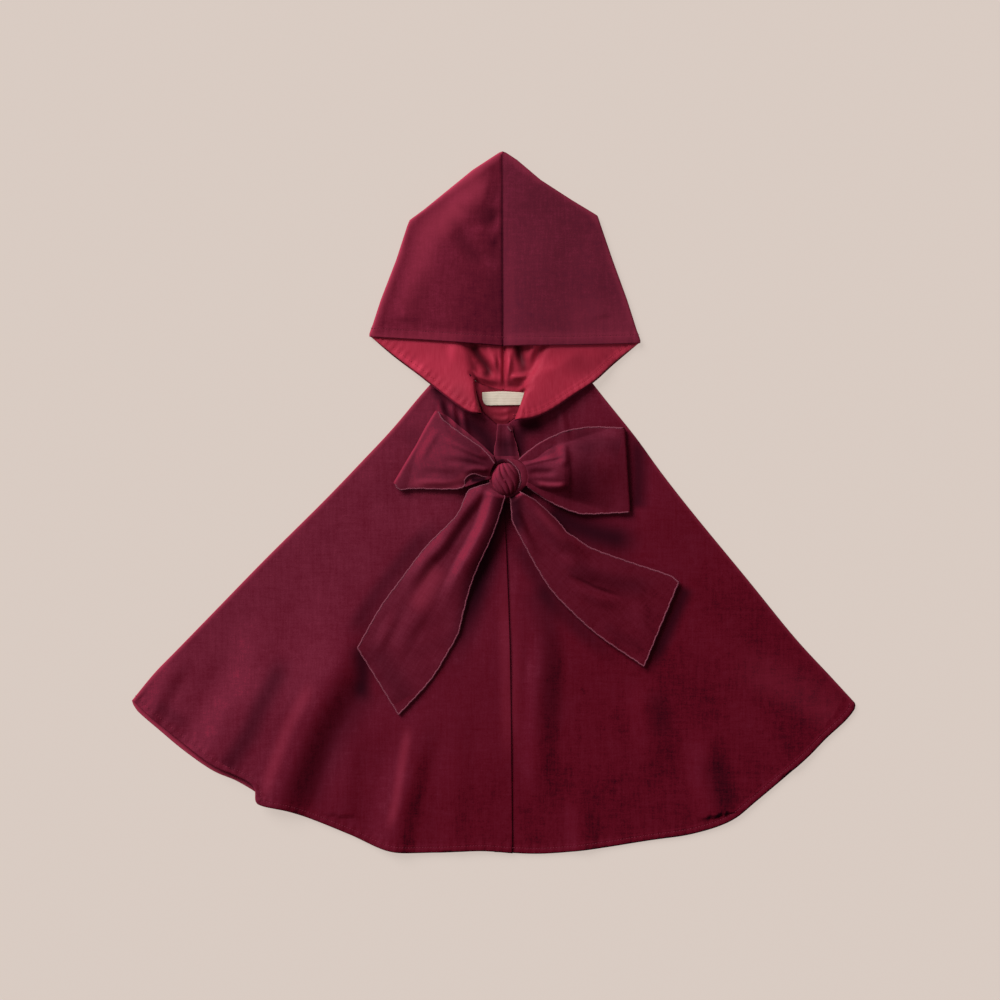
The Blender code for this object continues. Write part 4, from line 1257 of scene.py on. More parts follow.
    def build(self) -> None:
        """Builds and dresses the back, the fronts and their hem stitches."""
        left, right = self.hem[0].angle, self.hem[-1].angle
        neck_left, neck_right = self.neck[0].angle, self.neck[-1].angle
        spacing = self.back_spacing
        hem_line = self.ring_line(self.hem, "back", left, right, spacing)
        back = PlanMesh(joined(
            hem_line,
            self.side_line("right", self.neck[-1].back, self.hem[-1].back, spacing)[::-1],
            self.ring_line(self.neck, "back", neck_left, neck_right, spacing)[::-1],
            self.side_line("left", self.neck[0].back, self.hem[0].back, spacing),
        ), spacing, Edge.HEMMED)
        back_stitch = self.hem_stitch(hem_line)
        # A painted highlight along the back's hem, from its left end.
        rim = Fold(tuple(map(tuple, self.ring_line(self.hem, "back", left, self.painted_hem_highlight, 12.0))), -0.6, 7.0, 7.0,
                   rise=0.02, fall=0.1)
        piece = make_piece("back", sheet(back, lambda p: np.zeros(len(p)), self.velvet, back_stitch.relief),
                           self.finishes.velvet, "velvet", "cape_back", rim.lift)
        back.size
        back.area

        spacing = self.front_spacing
        edge = flowing(self.front_edge, spacing)
        hem_line = self.ring_line(self.hem, "front", left, self.angle_of(self.front_edge[-1]), spacing)
        plan = PlanMesh(joined(
            hem_line,
            edge[::-1],
            self.ring_line(self.neck, "front", neck_left, self.angle_of(self.front_edge[0]), spacing)[::-1],
            self.side_line("left", self.neck[0].front, self.hem[0].front, spacing),
        ), spacing, Edge.HEMMED)
        self.add_front("front_left", plan, hem_line, self.left_under)

        shift = (self.front_lap, 0.0)
        under_edge = edge - shift
        under_foot = tuple(under_edge[-1])
        hem_line = self.ring_line(self.hem, "front", self.angle_of(under_foot), right, spacing)
        plan = PlanMesh(joined(
            hem_line,
            self.side_line("right", self.neck[-1].front, self.hem[-1].front, spacing)[::-1],
            self.ring_line(self.neck, "front", self.angle_of(tuple(under_edge[0])), neck_right, spacing)[::-1],
            under_edge,
        ), spacing, Edge.HEMMED)
        self.add_front("front_right", plan, hem_line, self.right_under)

    def add_front(self, name: str, plan: PlanMesh, hem_line: Array, under: Heights) -> None:
        """Adds one front and the stitches of its hem.

        Args:
            name: Name of the CAD node, from which the pieces' names are made.
            plan: The front's plan.
            hem_line: Its lower edge.
            under: Height of its underside.
        """
        stitch = self.hem_stitch(hem_line)
        # The front's colour carries the painted shade and painted highlights of its strokes.
        piece = make_piece(f"{name}_panel", sheet(plan, under, self.velvet, stitch.relief), self.finishes.velvet,
                           "velvet", name, self.pile_and_painted_shading)

        def top(points: Array) -> Array:
            """Upper side of the front."""
            return under(points) + self.velvet + stitch.relief(points)

        row = make_piece(f"{name}_hem_stitches", stitch.stitches(top), self.finishes.thread, "velvet")
        plan.size
        plan.area


# The hood

@dataclass(frozen=True)
class HoodSide:
    """One side of the hood.

    Attributes:
        name: left or right.
        hand: -1 for the left side and 1 for the right one.
        outline: Fold from the tip down to the mouth corner.
        mouth: Front edge of the upper layer from the mouth corner to the seam.
        flap: Outer edge of the turned-out flap, from the mouth corner to the neck.
        roll: Line along which the flap rolls over, from the neck up into the hood.
        upper_folds: Dents and ridges of the upper layer.
        lining_folds: Ridges of the lining that shows in the mouth.
        painted_shading_strokes: Painted shade (above 0) and painted light (below 0) on the upper layer.
        painted_lining_shading: Painted shade (above 0) and painted light (below 0) on the lining.
    """

    name: str
    hand: int
    outline: Line
    mouth: Line
    flap: Line
    roll: Line
    upper_folds: Folds
    lining_folds: Folds
    painted_shading_strokes: Folds
    painted_lining_shading: Folds


LEFT_SIDE = HoodSide(
    "left", -1,
    ((10, 386), (-23, 365), (-50, 343), (-77, 321), (-92, 310), (-95, 303), (-107, 266), (-124, 222),
     (-137, 182)),
    ((-137, 182), (-70, 177), (10.8, 171)),
    ((-137, 182), (-111, 161), (-82, 139), (-70, 129.5), (-31, 100), (-13, 96)),
    ((-13, 96), (-18, 115), (-20.5, 133), (-25, 146), (-29, 166), (-42, 190)),
    (
        Fold(((8, 380), (5, 352), (-4, 320)), -2.2, 12, 12, 0.15, 0.3),
        Fold(((9, 322), (0, 308), (-14, 296)), -1.8, 14, 16, 0.35, 0.4),
        Fold(((-50, 318), (-38, 300), (-24, 280), (-6, 264), (9, 258)), -2.6, 12, 18, 0.35, 0.3),
        Fold(((-24, 304), (-8, 290), (6, 284)), 1.4, 12, 12, 0.4, 0.3),
        Fold(((-60, 335), (-30, 330), (-8, 318)), 1.4, 18, 18, 0.4, 0.4),
        Fold(((-84, 270), (-92, 230), (-100, 196)), 1.8, 22, 24, 0.4, 0.1),
    ),
    (
        Fold(((-26, 190), (-20, 166), (-10, 152), (3, 134)), -4.5, 7, 8, 0.1, 0.3),
        Fold(((-7, 190), (-2, 166), (2, 148), (6, 136)), 5, 5.5, 5.5, 0.1, 0.35),
        Fold(((-20, 142), (-8, 134), (2, 128)), 2.2, 5, 5, 0.3, 0.3),
    ),
    # Painted shade and painted highlights on the velvet.
    (
        Fold(((0, 366), (-40, 328), (-70, 300), (-82, 262), (-98, 220), (-112, 176)), -0.37, 27, 26, 0.12, 0.65),
        Fold(((-134, 178), (-70, 180), (8, 178)), -0.2, 12, 14, 0.02, 0.4),
        Fold(((-34, 326), (-50, 304), (-53, 280)), -0.16, 16, 16, 0.2, 0.4),
        Fold(((6, 360), (2, 330), (3, 300), (2, 250), (4, 180)), 0.2, 26, 18, 0.1, 0.1),
        Fold(((10, 384), (10.6, 280), (11, 172)), 0.6, 3.2, 3.2, 0.02, 0.1),
        Fold(((10, 386), (-50, 343), (-93, 309), (-107, 266), (-124, 222), (-137, 182)), -0.6, 9, 9, 0.02),
        Fold(((-16, 324), (0, 310)), 0.22, 16, 16, 0.3),
        Fold(((-44, 302), (-34, 287), (-22, 272), (-10, 262)), 0.22, 14, 14, 0.3, 0.3),
    ),
    # Painted shade in the lining's hollows and painted highlights along its edges and folds.
    (
        Fold(((-30, 190), (-21, 168), (-15, 158), (-9, 151), (-6, 145), (-9, 138), (-10, 130)), 0.92, 9, 8, 0, 0.15),
        Fold(((-19, 156), (-21, 146), (-20, 139)), 0.42, 6, 6, 0.2, 0.4),
        Fold(((-112, 162), (-70, 154), (-40, 150)), -0.16, 20, 22, 0.1, 0.2),
        Fold(((-6, 174), (-5, 164)), -0.3, 3, 3, 0.2, 0.2),
        Fold(((7, 160), (7, 148), (6.5, 128)), -0.5, 3.5, 3.5, 0.2, 0.1),
        Fold(((-46, 180), (-46, 165), (-43, 150)), -0.4, 7, 9, 0, 0.5),
        Fold(((-116, 168), (-99, 157), (-84, 149), (-70, 141)), -0.35, 8, 8, 0.2, 0.3),
        Fold(((-48, 128), (-38, 118), (-28, 106)), 0.2, 16, 14, 0.3),
        Fold(((-134, 180), (-70, 175), (-20, 172)), -0.4, 7, 4, 0.02),
    ),
)
RIGHT_SIDE = HoodSide(
    "right", 1,
    ((10, 386), (26, 376), (52, 354), (86, 332), (114, 315), (118, 304), (131, 266), (147, 222),
     (162, 175)),
    ((162, 175), (90, 172), (10.8, 171)),
    ((162, 175), (132, 151), (111, 132), (87, 116), (63, 100), (43, 91.5), (23, 89)),
    ((23, 89), (30, 109), (34, 121.2), (40, 134), (47, 148), (54, 169), (64, 190)),
    (
        Fold(((60, 320), (58, 270), (54, 215)), 1.6, 26, 30, 0.4, 0.3),
        Fold(((108, 280), (116, 240), (124, 200)), 1.6, 22, 24, 0.4, 0.1),
    ),
    (
        Fold(((18, 190), (18, 160), (15, 132)), 4.2, 4.5, 6.5, 0.1, 0.3),
        Fold(((30, 190), (29.5, 160), (32, 146)), -4.4, 6.5, 6, 0.05, 0.35),
        Fold(((18, 137), (28, 137.5), (42, 139)), 4, 4.5, 4.5, 0.25, 0.1),
        Fold(((48, 190), (43, 168), (38, 152)), 4, 7, 6, 0.1, 0.4),
    ),
    # Painted shade and painted highlights on the velvet.
    (
        Fold(((40, 345), (70, 315), (104, 285)), 0.13, 40, 50, 0.1, 0.2),
        Fold(((19, 366), (19, 300), (19, 240), (18, 172)), -0.08, 8, 14, 0.7),
        Fold(((14, 178), (60, 180), (110, 180), (156, 182)), -0.12, 14, 12, 0.02),
        Fold(((10, 386), (52, 354), (116, 310), (131, 266), (147, 222), (162, 175)), -0.22, 9, 9, 0.02),
        Fold(((70, 200), (110, 200), (150, 190)), -0.1, 40, 40, 0.3),
    ),
    # Painted shade in the lining's hollows and painted highlights along its edges and folds.
    (
        Fold(((26, 173), (28, 163), (31, 155), (32, 147), (30, 138), (29, 130)), 0.92, 9, 9, 0.05, 0.6),
        Fold(((47, 176), (46, 162), (44, 150)), -0.6, 5, 5, 0, 0.3),
        Fold(((18, 160), (17, 138)), -0.4, 5, 4, 0.2, 0.2),
        Fold(((14, 130), (24, 129), (36, 130)), 0.35, 7, 6, 0.2, 0.2),
        Fold(((84, 166), (98, 150), (120, 152), (140, 162)), 0.26, 22, 26, 0.2, 0.2),
        Fold(((38, 172), (90, 172), (158, 176)), -0.6, 6, 8, 0.02),
    ),
)


@dataclass
class Hood:
    """The hood: two velvet sides joined by a middle seam, each folded once, and their linings.

    Attributes:
        cape: The cape that the flaps lie on.
        finishes: The materials.
        tip: Plan place of the hood's tip.
        seam_foot: Plan place of the middle seam's lower end.
        satin: Thickness of the lining.
        fold_clear: Clear height inside the hood at its folds.
        mouth_clear: Clear height inside it at the middle of its mouth.
        puff_reach: How far from its folds it has that height.
        seam_dip: How far the upper layer dips along the middle seam.
        seam_width: Over what distance from the seam the left and the right side do so.
        lining_loose: How far the lining stands off the velvet inside the mouth.
        bank_clear: Clearance between the lining and the upper layer along the mouth.
        bank_fall: Y where the lining, banked up under the mouth, comes down outside and inside it.
        under_mouth: Y over which the loose folds flatten to pass under the upper layer.
        flap_slack: Clearance between a flap and the cape.
        flap_stand: How far a flap stands off the cape beside the neck.
        flap_stand_reach: Y over which it comes down from that.
        flap_reach: Distances past the neck over which a flap climbs onto the cape.
        roll_ramp: Width of the slope from the neck up to the roll line.
        roll_crest: Height of the roll above the flap.
        crest_past: How far past the roll line the roll is highest.
        crest_end: Y over which the roll dies away under the upper layer.
        hold_step: Distance from the neck seam over which its hold moves off the roll line.
        hold_fade: How far to either side of the roll line that hold fades.
        loose_edge: Distances past the roll line over which the loose folds of the lining end.
        loose_reach: Y where they start, are full, begin to end and end.
        loose_at_seam: Share of them at the middle seam, and the distance over which they come up.
        bank_edge: Distances past the roll line over which the lining's bank starts.
        puff_power: Above 1 for an upper layer that stays lower near its folds.
        tip_share: Share of the clear height that is left at the tip.
        fold_flat: Distances from the folds over which creases and waves come up.
        seam_flat: Distance from the middle seam over which they do.
        wave_height: Height of the gentle waves of the upper layer.
        wave_length: Usual length of those waves.
        groove: Depth and half width of the groove along the middle seam.
        roll_fall: Distances over which the roll falls to the inside and to the outside.
        neck_rise: Distance from the neck seam, which lies flat, over which the cloth comes up.
        velvet_rim: How far the velvet reaches past the lining at a flap's edge.
        mouth_turn: Depth of the stitched turning along the mouth.
        flap_turn: Depth of the stitched turning along a flap.
        spacing: Mesh spacing.
        sheet_length: Length of a side's cloth in metres, out and back over its fold.
        sheet_slack: How much wider its cloth is than its fold reaches to the side, in metres.
        sides: Its two sides.
    """

    cape: Cape
    finishes: Finishes
    tip: Point = (10.0, 386.0)
    seam_foot: Point = (11.5, 123.0)
    satin: float = 1.0
    fold_clear: float = 0.5
    mouth_clear: float = 10.5
    puff_reach: float = 105.0
    seam_dip: float = 4.6
    seam_width: Point = (62.0, 27.0)
    lining_loose: float = 4.6
    bank_clear: float = 1.3
    bank_fall: tuple[float, float, float, float] = (132.0, 172.0, 186.0, 225.0)
    under_mouth: Point = (152.0, 168.0)
    flap_slack: float = 0.2
    flap_stand: float = 6.5
    flap_stand_reach: Point = (98.0, 158.0)
    flap_reach: Point = (15.0, 34.0)
    roll_ramp: float = 9.0
    roll_crest: float = 6.5
    crest_past: float = 6.0
    crest_end: Point = (160.0, 200.0)
    hold_step: float = 1.5
    hold_fade: float = 2.0
    loose_edge: Point = (-9.0, -1.0)
    loose_reach: tuple[float, float, float, float] = (126.0, 136.0, 196.0, 230.0)
    loose_at_seam: Point = (0.35, 4.0)
    bank_edge: Point = (-2.0, 9.0)
    puff_power: float = 1.4
    tip_share: float = 0.3
    fold_flat: Point = (30.0, 20.0)
    seam_flat: float = 9.0
    wave_height: float = 0.25
    wave_length: float = 60.0
    groove: Point = (0.9, 1.6)
    roll_fall: Point = (9.0, 32.0)
    neck_rise: float = 6.0
    velvet_rim: float = 1.3
    mouth_turn: float = 9.8
    flap_turn: float = 5.8
    spacing: float = 2.3
    sheet_length: float = 0.40
    sheet_slack: float = 0.08
    sides: tuple[HoodSide, ...] = (LEFT_SIDE, RIGHT_SIDE)

    @property
    def fold_radius(self) -> float:
        """Radius of the hood's folds over the velvet."""
        return self.cape.velvet + self.cape.gap + self.satin + self.fold_clear / 2

    def seam_at(self, y: Array) -> Array:
        """X of the middle seam at values of Y."""
        return np.interp(y, (self.seam_foot[1], self.tip[1]), (self.seam_foot[0], self.tip[0]))

    def past_roll(self, side: HoodSide, points: Array) -> Array:
        """How far each point is out past a side's roll line, in mm."""
        roll = flowing(side.roll, 4.0)
        return side.hand * (points[:, 0] - np.interp(points[:, 1], roll[:, 1], roll[:, 0]))

    def lower_under(self, side: HoodSide, points: Array) -> Array:
        """Underside of the lower velvet, which climbs onto the cape beside the neck."""
        angle, radius = self.cape.polar(points)
        first = self.cape.sides[0]
        to_left = radius * np.sin(np.radians(np.minimum(angle - first.left, 90.0)))
        to_right = radius * np.sin(np.radians(np.minimum(first.right - angle, 90.0)))
        depth = np.minimum(radius - self.cape.neck[0].front, np.minimum(to_left, to_right))
        climb = smooth(-self.flap_reach[1], -self.flap_reach[0], depth)
        past = self.past_roll(side, points)
        turned = smooth(-self.roll_ramp, 0.0, past)
        stand = self.flap_stand * (1 - smooth(*self.flap_stand_reach, points[:, 1]))
        rest = self.cape.carries(points) + self.flap_slack + stand
        fall = np.where(past < self.crest_past, *self.roll_fall)
        crest = self.roll_crest * np.exp(-(((past - self.crest_past) / fall) ** 2))
        crest *= 1 - smooth(*self.crest_end, points[:, 1])
        from_neck = self.cape.neck[0].back - radius
        fade = self.hold_fade
        behind = smooth(0.0, self.hold_step, from_neck)
        held = 1 - smooth(0.0, 1.0, (past + fade - fade * behind) / (2 * fade + fade * behind))
        sewn = 1 - (1 - smooth(0.0, self.neck_rise, from_neck)) * held
        return turned * (climb * rest + crest) * sewn

    def lining_lift(self, side: HoodSide, points: Array) -> Array:
        """How far the lower lining stands off its velvet in loose folds."""
        past = self.past_roll(side, points)
        y = points[:, 1]
        within = 1 - smooth(*self.loose_edge, past)
        loose = self.lining_loose + folds_lift(side.lining_folds, points)
        reach = smooth(*self.loose_reach[:2], y) * (1 - smooth(*self.loose_reach[2:], y))
        share, width = self.loose_at_seam
        held = share + (1 - share) * smooth(0.0, width, np.abs(points[:, 0] - self.seam_at(y)))
        room = self.upper_under(side, np.array(side.outline, float), points) - self.lower_under(side, points)
        room = np.maximum(room - self.bank_clear, 0.0)
        bank = smooth(*self.bank_fall[:2], y) * (1 - smooth(*self.bank_fall[2:], y)) * smooth(*self.bank_edge, past)
        lift = loose * within * reach * held + room * bank
        return lift - np.maximum(lift - room, 0.0) * smooth(*self.under_mouth, y)

    def upper_under(self, side: HoodSide, outline: Array, points: Array) -> Array:
        """Clear height above the lower lining of the upper one."""
        away = edge_distances(outline, points)
        along = smooth(0.0, 1.0, (self.tip[1] - points[:, 1]) / (self.tip[1] - side.mouth[-1][1]))
        across = np.sin(0.5 * math.pi * np.minimum(away / self.puff_reach, 1.0)) ** self.puff_power
        rise = self.tip_share + (1 - self.tip_share) * along
        clear = self.fold_clear + (self.mouth_clear - self.fold_clear) * across * rise
        to_seam = np.abs(points[:, 0] - self.seam_at(points[:, 1]))
        width = self.seam_width[side.hand > 0]
        dip = self.seam_dip * (0.5 + 0.5 * np.cos(math.pi * np.minimum(to_seam / width, 1.0)))
        soft = folds_lift(side.upper_folds, points) * smooth(0.0, self.fold_flat[0], away)
        wave = self.wave_height * ripple(points, self.wave_length, 21 + side.hand)
        uneven = (soft + wave * smooth(0.0, self.fold_flat[1], away)) * smooth(0.0, self.seam_flat, to_seam)
        return np.maximum(clear - dip * along * across + uneven, self.fold_clear)

    def seam_groove(self, points: Array) -> Array:
        """Relief of the middle seam: each side rolls down into it."""
        depth, width = self.groove
        return -depth * np.exp(-(((points[:, 0] - self.seam_at(points[:, 1])) / width) ** 2))

    def side_plans(self, side: HoodSide, rim: float) -> tuple[PlanMesh, PlanMesh, Array, Array]:
        """Plans of a side's lower and upper layers.

        Args:
            side: The side.
            rim: How far in from the flap's outer edge the cloth ends.

        Returns:
            The lower plan, the upper plan, the flap's outer edge and the mouth edge,
            each with the cloth to its left.
        """
        spacing = self.spacing
        corners = np.array(side.outline, float)
        inward = side_directions(corners) * -side.hand
        corners = corners + inward * self.fold_radius
        corners[0] = (self.tip[0], self.tip[1] - self.fold_radius)
        fold = joined(*[straight(tuple(a), tuple(b), spacing) for a, b in zip(corners, corners[1:])], corners[-1:])

        flap = flowing([tuple(corners[-1]), *side.flap[1:]], spacing)
        flap = flap - side_directions(flap) * side.hand * rim * smooth(0, 12, np.arange(len(flap)))[:, None]
        at_neck = side.roll[2]
        roll = flowing([tuple(flap[-1]), side.roll[1], at_neck], spacing)
        start, finish = self.cape.angle_of(at_neck), self.cape.angle_of(self.seam_foot)
        radius = self.cape.neck[0].back - self.cape.gap
        neck = np.array([self.cape.at_polar(a, radius) for a in np.linspace(start, finish, 12)])
        lower = joined(fold, flap, roll, neck, straight(tuple(neck[-1]), tuple(fold[0]), spacing))

        mouth = flowing([tuple(corners[-1]), *side.mouth[1:]], spacing)
        upper = joined(fold, mouth, straight(side.mouth[-1], tuple(fold[0]), spacing))
        count = len(fold)
        if side.hand > 0:
            lower, upper = (np.roll(line[::-1], count, axis=0) for line in (lower, upper))
            flap, mouth = flap[::-1], mouth[::-1]
        return (
            PlanMesh(lower, spacing, Edge.FLAPPED, count),
            PlanMesh(upper, spacing, Edge.HOODED, count),
            flap,
            mouth,
        )

    def build(self) -> None:
        """Builds and dresses both sides of the hood, their linings and stitches."""
        for side in self.sides:
            self.build_side(side)

    def build_side(self, side: HoodSide) -> None:
        """Builds one velvet side of the hood with its lining and its stitches.

        Args:
            side: The side.
        """
        velvet, gap, satin = self.cape.velvet, self.cape.gap, self.satin
        lower, upper, _, mouth = self.side_plans(side, 0.0)
        outline = lower.points[:lower.folded]
        stitch = Topstitch(mouth, self.mouth_turn, pucker=0.15)
        tip_end = {0 if side.hand < 0 else lower.folded - 1: (0.0, 1.0)}
        flat = (float(np.ptp(outline[:, 0])) * MM + self.sheet_slack, self.sheet_length)

        def upper_lining_under(points: Array) -> Array:
            """Underside of the upper lining."""
            return velvet + gap + satin + self.upper_under(side, outline, points)

        def upper_velvet_under(points: Array) -> Array:
            """Underside of the upper velvet."""
            return upper_lining_under(points) + satin + gap

        def velvet_relief(points: Array) -> Array:
            """Mouth turning and middle seam of the upper velvet."""
            return stitch.relief(points) + self.seam_groove(points)

        data = folded_sheet(lower, upper, lambda p: self.lower_under(side, p), upper_velvet_under, velvet,
                            (None, velvet_relief), tip_end)
        finish = self.finishes.hood_left if side.hand < 0 else self.finishes.hood_right
        # Its colour carries the side's painted shade and painted highlights.
        piece = make_piece(f"hood_{side.name}_velvet", data, finish, "velvet", f"hood_{side.name}",
                           lambda p: folds_lift(side.painted_shading_strokes, p))
        data = stitch.stitches(lambda p: upper_velvet_under(p) + velvet + velvet_relief(p))
        row = make_piece(f"hood_{side.name}_mouth_stitches", data, self.finishes.thread, "velvet")
        min(lower.area + upper.area, math.prod(flat))

        lower, upper, flap, _ = self.side_plans(side, self.velvet_rim)
        stitch = Topstitch(flap, self.flap_turn, pitch=2.8, length=2.1, depth=0.55, body=0.7, pucker=0.5,
                           pucker_length=8.0)

        def lower_lining_under(points: Array) -> Array:
            """Underside of the lower lining."""
            return self.lower_under(side, points) + velvet + gap + self.lining_lift(side, points)

        def lining_relief(points: Array) -> Array:
            """Stitched turning of the flap, and the middle seam where the lining shows."""
            return stitch.relief(points) + self.seam_groove(points)

        data = folded_sheet(lower, upper, lower_lining_under, upper_lining_under, satin, (lining_relief, None),
                            tip_end)
        # Its colour carries the lining's painted shade and painted highlights.
        piece = make_piece(f"hood_{side.name}_lining", data, self.finishes.satin, "satin",
                           f"hood_lining_{side.name}", lambda p: folds_lift(side.painted_lining_shading, p))
        data = stitch.stitches(lambda p: lower_lining_under(p) + satin + lining_relief(p))
        row = make_piece(f"flap_{side.name}_stitches", data, self.finishes.satin_thread, "satin")
        min(lower.area + upper.area, math.prod(flat))


# The neck

@dataclass
class Neck:
    """The satin facing inside the back neck, and the bare label sewn on it.

    Attributes:
        cape: The cape, whose neck it lines.
        finishes: The materials.
        satin: Thickness of the facing and of the tape.
        facing_angles: Angles between which the facing shows.
        facing_radius: Radius of its upper edge.
        facing_clear: Clearance between its lower edge and the fronts.
        spacing: Mesh spacing.
        shade: Painted shade over the whole facing.
        wrinkles: Small ridges of the facing.
        shaded: Where its painted shade is stronger (above 0), and painted light (below 0).
        label_clear: Clearance between the label and the facing, more than between cloths that touch.
        label_bow: How much more or less its middle and its ends have.
        label_top: Upper edge of the label, from its right end.
        label_left: Its left edge.
        label_corner: Its lower left corner, which is turned in.
        label_foot: Its lower edge.
        label_right: Its right edge.
    """

    cape: Cape
    finishes: Finishes
    satin: float = 1.0
    facing_angles: Point = (-29.0, 6.0)
    facing_radius: float = 102.73
    facing_clear: float = 0.6
    spacing: float = 1.2
    shade: float = 0.38
    wrinkles: Folds = (
        Fold(((-6, 101), (8, 98), (24, 102)), 0.8, 4, 4, 0.3, 0.3),
        Fold(((-2, 94), (8, 90), (18, 92)), 0.9, 3.5, 3.5, 0.3, 0.3),
        Fold(((12, 104), (16, 96), (15, 88)), 0.7, 3.5, 3.5, 0.3, 0.3),
    )
    shaded: Folds = (
        Fold(((-12, 96), (4, 88), (16, 86), (28, 92)), 0.3, 8, 8, 0.1, 0.1),
        Fold(((-17, 132), (-18, 118), (-18, 110), (-14, 102)), -1.1, 8, 8, 0.02, 0.3),
        Fold(((16, 104), (24, 100), (30, 98)), 0.25, 7, 7, 0.1, 0.1),
        Fold(((-8, 126), (12, 127), (34, 126)), 0.4, 6, 6, 0.1, 0.1),
    )
    label_clear: float = 0.55
    label_bow: float = 0.35
    label_top: Line = ((34.5, 120), (10, 121.5), (-12.5, 120.5))
    label_left: Line = ((-12.5, 120.5), (-12, 112))
    label_corner: Line = ((-12, 112), (-9, 107), (-4, 106))
    label_foot: Line = ((-4, 106), (33, 106.5))
    label_right: Line = ((33, 106.5), (34.5, 120))

    def facing_under(self, points: Array) -> Array:
        """Underside of the facing."""
        return self.cape.front_base + folds_lift(self.wrinkles, points)

    def label_under(self, points: Array) -> Array:
        """Underside of the label, whose middle stands a little off the facing."""
        bow = self.label_bow * np.cos((points[:, 0] - 10.0) / 11.0)
        return self.cape.front_base + self.satin + self.cape.gap + self.label_clear + bow

    def build(self) -> None:
        """Builds and dresses the facing and the label."""
        angles = np.linspace(*self.facing_angles, 40)
        inner = np.array([self.cape.at_polar(a, self.facing_radius) for a in angles])
        radii = column(self.cape.neck, "angle", "front", angles) - self.facing_clear
        outer = np.array([self.cape.at_polar(a, r) for a, r in zip(angles, radii)])
        plan = PlanMesh(joined(outer, inner[::-1]), self.spacing, Edge.PLAIN)
        # The facing's colour carries painted shade all over, more in places, and painted light near its left end.
        piece = make_piece("back_neck_facing", sheet(plan, self.facing_under, self.satin), self.finishes.satin,
                           "satin", "neck_facing", lambda p: self.shade + folds_lift(self.shaded, p))
        plan.size
        plan.area

        lines = (self.label_left, self.label_corner, self.label_foot, self.label_right, self.label_top)
        plan = PlanMesh(joined(*[flowing(line, self.spacing) for line in lines]), self.spacing, Edge.PLAIN)
        piece = make_piece("neck_label", sheet(plan, self.label_under, self.satin), self.finishes.tape,
                           "label_tape", "label")
        plan.size
        plan.area


# The bow

@dataclass(frozen=True)
class Loop:
    """One loop of the bow: the ribbon folded over at its outer end and puffed near the knot.

    Attributes:
        name: left or right.
        fold: Its outer fold, with the cloth to the left.
        lower: Rest of the lower layer's outline, in stretches.
        upper: Rest of the upper layer's outline, in stretches.
        axis: Line from the knot to the fold.
        half_width: Half width of the loop at the knot and at the fold.
        puff: Height of the upper layer along the axis.
        droop: Share of the puff that is lost at the ribbon's edges.
        folds: Gathers and creases of the upper layer.
        turn: Direction of the ribbon's grain in degrees.
        painted_shading_strokes: Painted shade (above 0) and painted light (below 0) on it.
    """

    name: str
    fold: Line
    lower: tuple[Array, ...]
    upper: tuple[Array, ...]
    axis: Line
    half_width: Point
    puff: tuple[Station, ...]
    droop: float
    folds: Folds
    turn: float
    painted_shading_strokes: Folds


@dataclass(frozen=True)
class Tail:
    """One tail of the bow.

    Attributes:
        name: left or right.
        edges: Its outline in stretches, with the cloth to the left.
        axis: Line from the knot to the cut end.
        lift: Height of the tail above the cape along that line.
        folds: Its folds.
        turn: Direction of the ribbon's grain in degrees.
        painted_shading_strokes: Painted shade (above 0) and painted light (below 0) on it.
    """

    name: str
    edges: tuple[Array, ...]
    axis: Line
    lift: tuple[Station, ...]
    folds: Folds
    turn: float
    painted_shading_strokes: Folds


@dataclass(frozen=True)
class Dome:
    """A rounded oval lump of wrapped cloth, with pleats that curve over it.

    Attributes:
        centre: Plan place of its middle.
        half: Half width and half length.
        base: Height of its foot in mm.
        height: Its own height in mm.
        pleats: How many pleats run over it.
        depth: Depth of the grooves between them in mm.
        slant: How far the pleats tip over, in degrees.
        squareness: Below 1 for a fuller outline in section.
    """

    centre: Point
    half: Point
    base: float
    height: float
    pleats: int = 0
    depth: float = 0.0
    slant: float = 0.0
    squareness: float = 0.62

    def mesh(self) -> MeshData:
        """The dome's mesh, closed underneath."""
        rings, sides = 48, 144
        rise = np.linspace(0.0, 0.5 * math.pi, rings)[:, None]
        turn = 2 * math.pi * np.arange(sides)[None] / sides
        spread = np.cos(rise) ** self.squareness
        x = self.half[0] * spread * np.cos(turn)
        y = self.half[1] * spread * np.sin(turn)
        z = self.base + self.height * np.sin(rise) + 0 * x
        if self.pleats:
            lean_and_painted_falloff = math.radians(self.slant)
            across = (x * math.cos(lean_and_painted_falloff) + y * math.sin(lean_and_painted_falloff)) / self.half[0]
            level = np.clip((y * math.cos(lean_and_painted_falloff) - x * math.sin(lean_and_painted_falloff)) / self.half[1], -1.0, 1.0)
            place_across = across / np.sqrt(np.maximum(1 - level**2, 0.05)) + 0.12 * np.sin(3.0 * level)
            pleat = np.abs(np.sin(0.5 * math.pi * self.pleats * place_across + 0.5)) ** 0.6
            uneven = 1 + 0.35 * np.sin(5.0 * across + 2.0)
            z -= self.depth * uneven * (1 - pleat) * np.sqrt(np.sin(rise))
        vertices = np.stack([self.centre[0] + x, self.centre[1] + y, z], -1).reshape(-1, 3)
        rows = grid_of(rings, sides)
        fan = np.column_stack([np.full(sides, len(vertices)), rows[0, 1:], rows[0, :-1]])
        faces = np.vstack([quads(rows), fan])
        return MeshData(np.vstack([vertices, [(*self.centre, self.base)]]), faces)


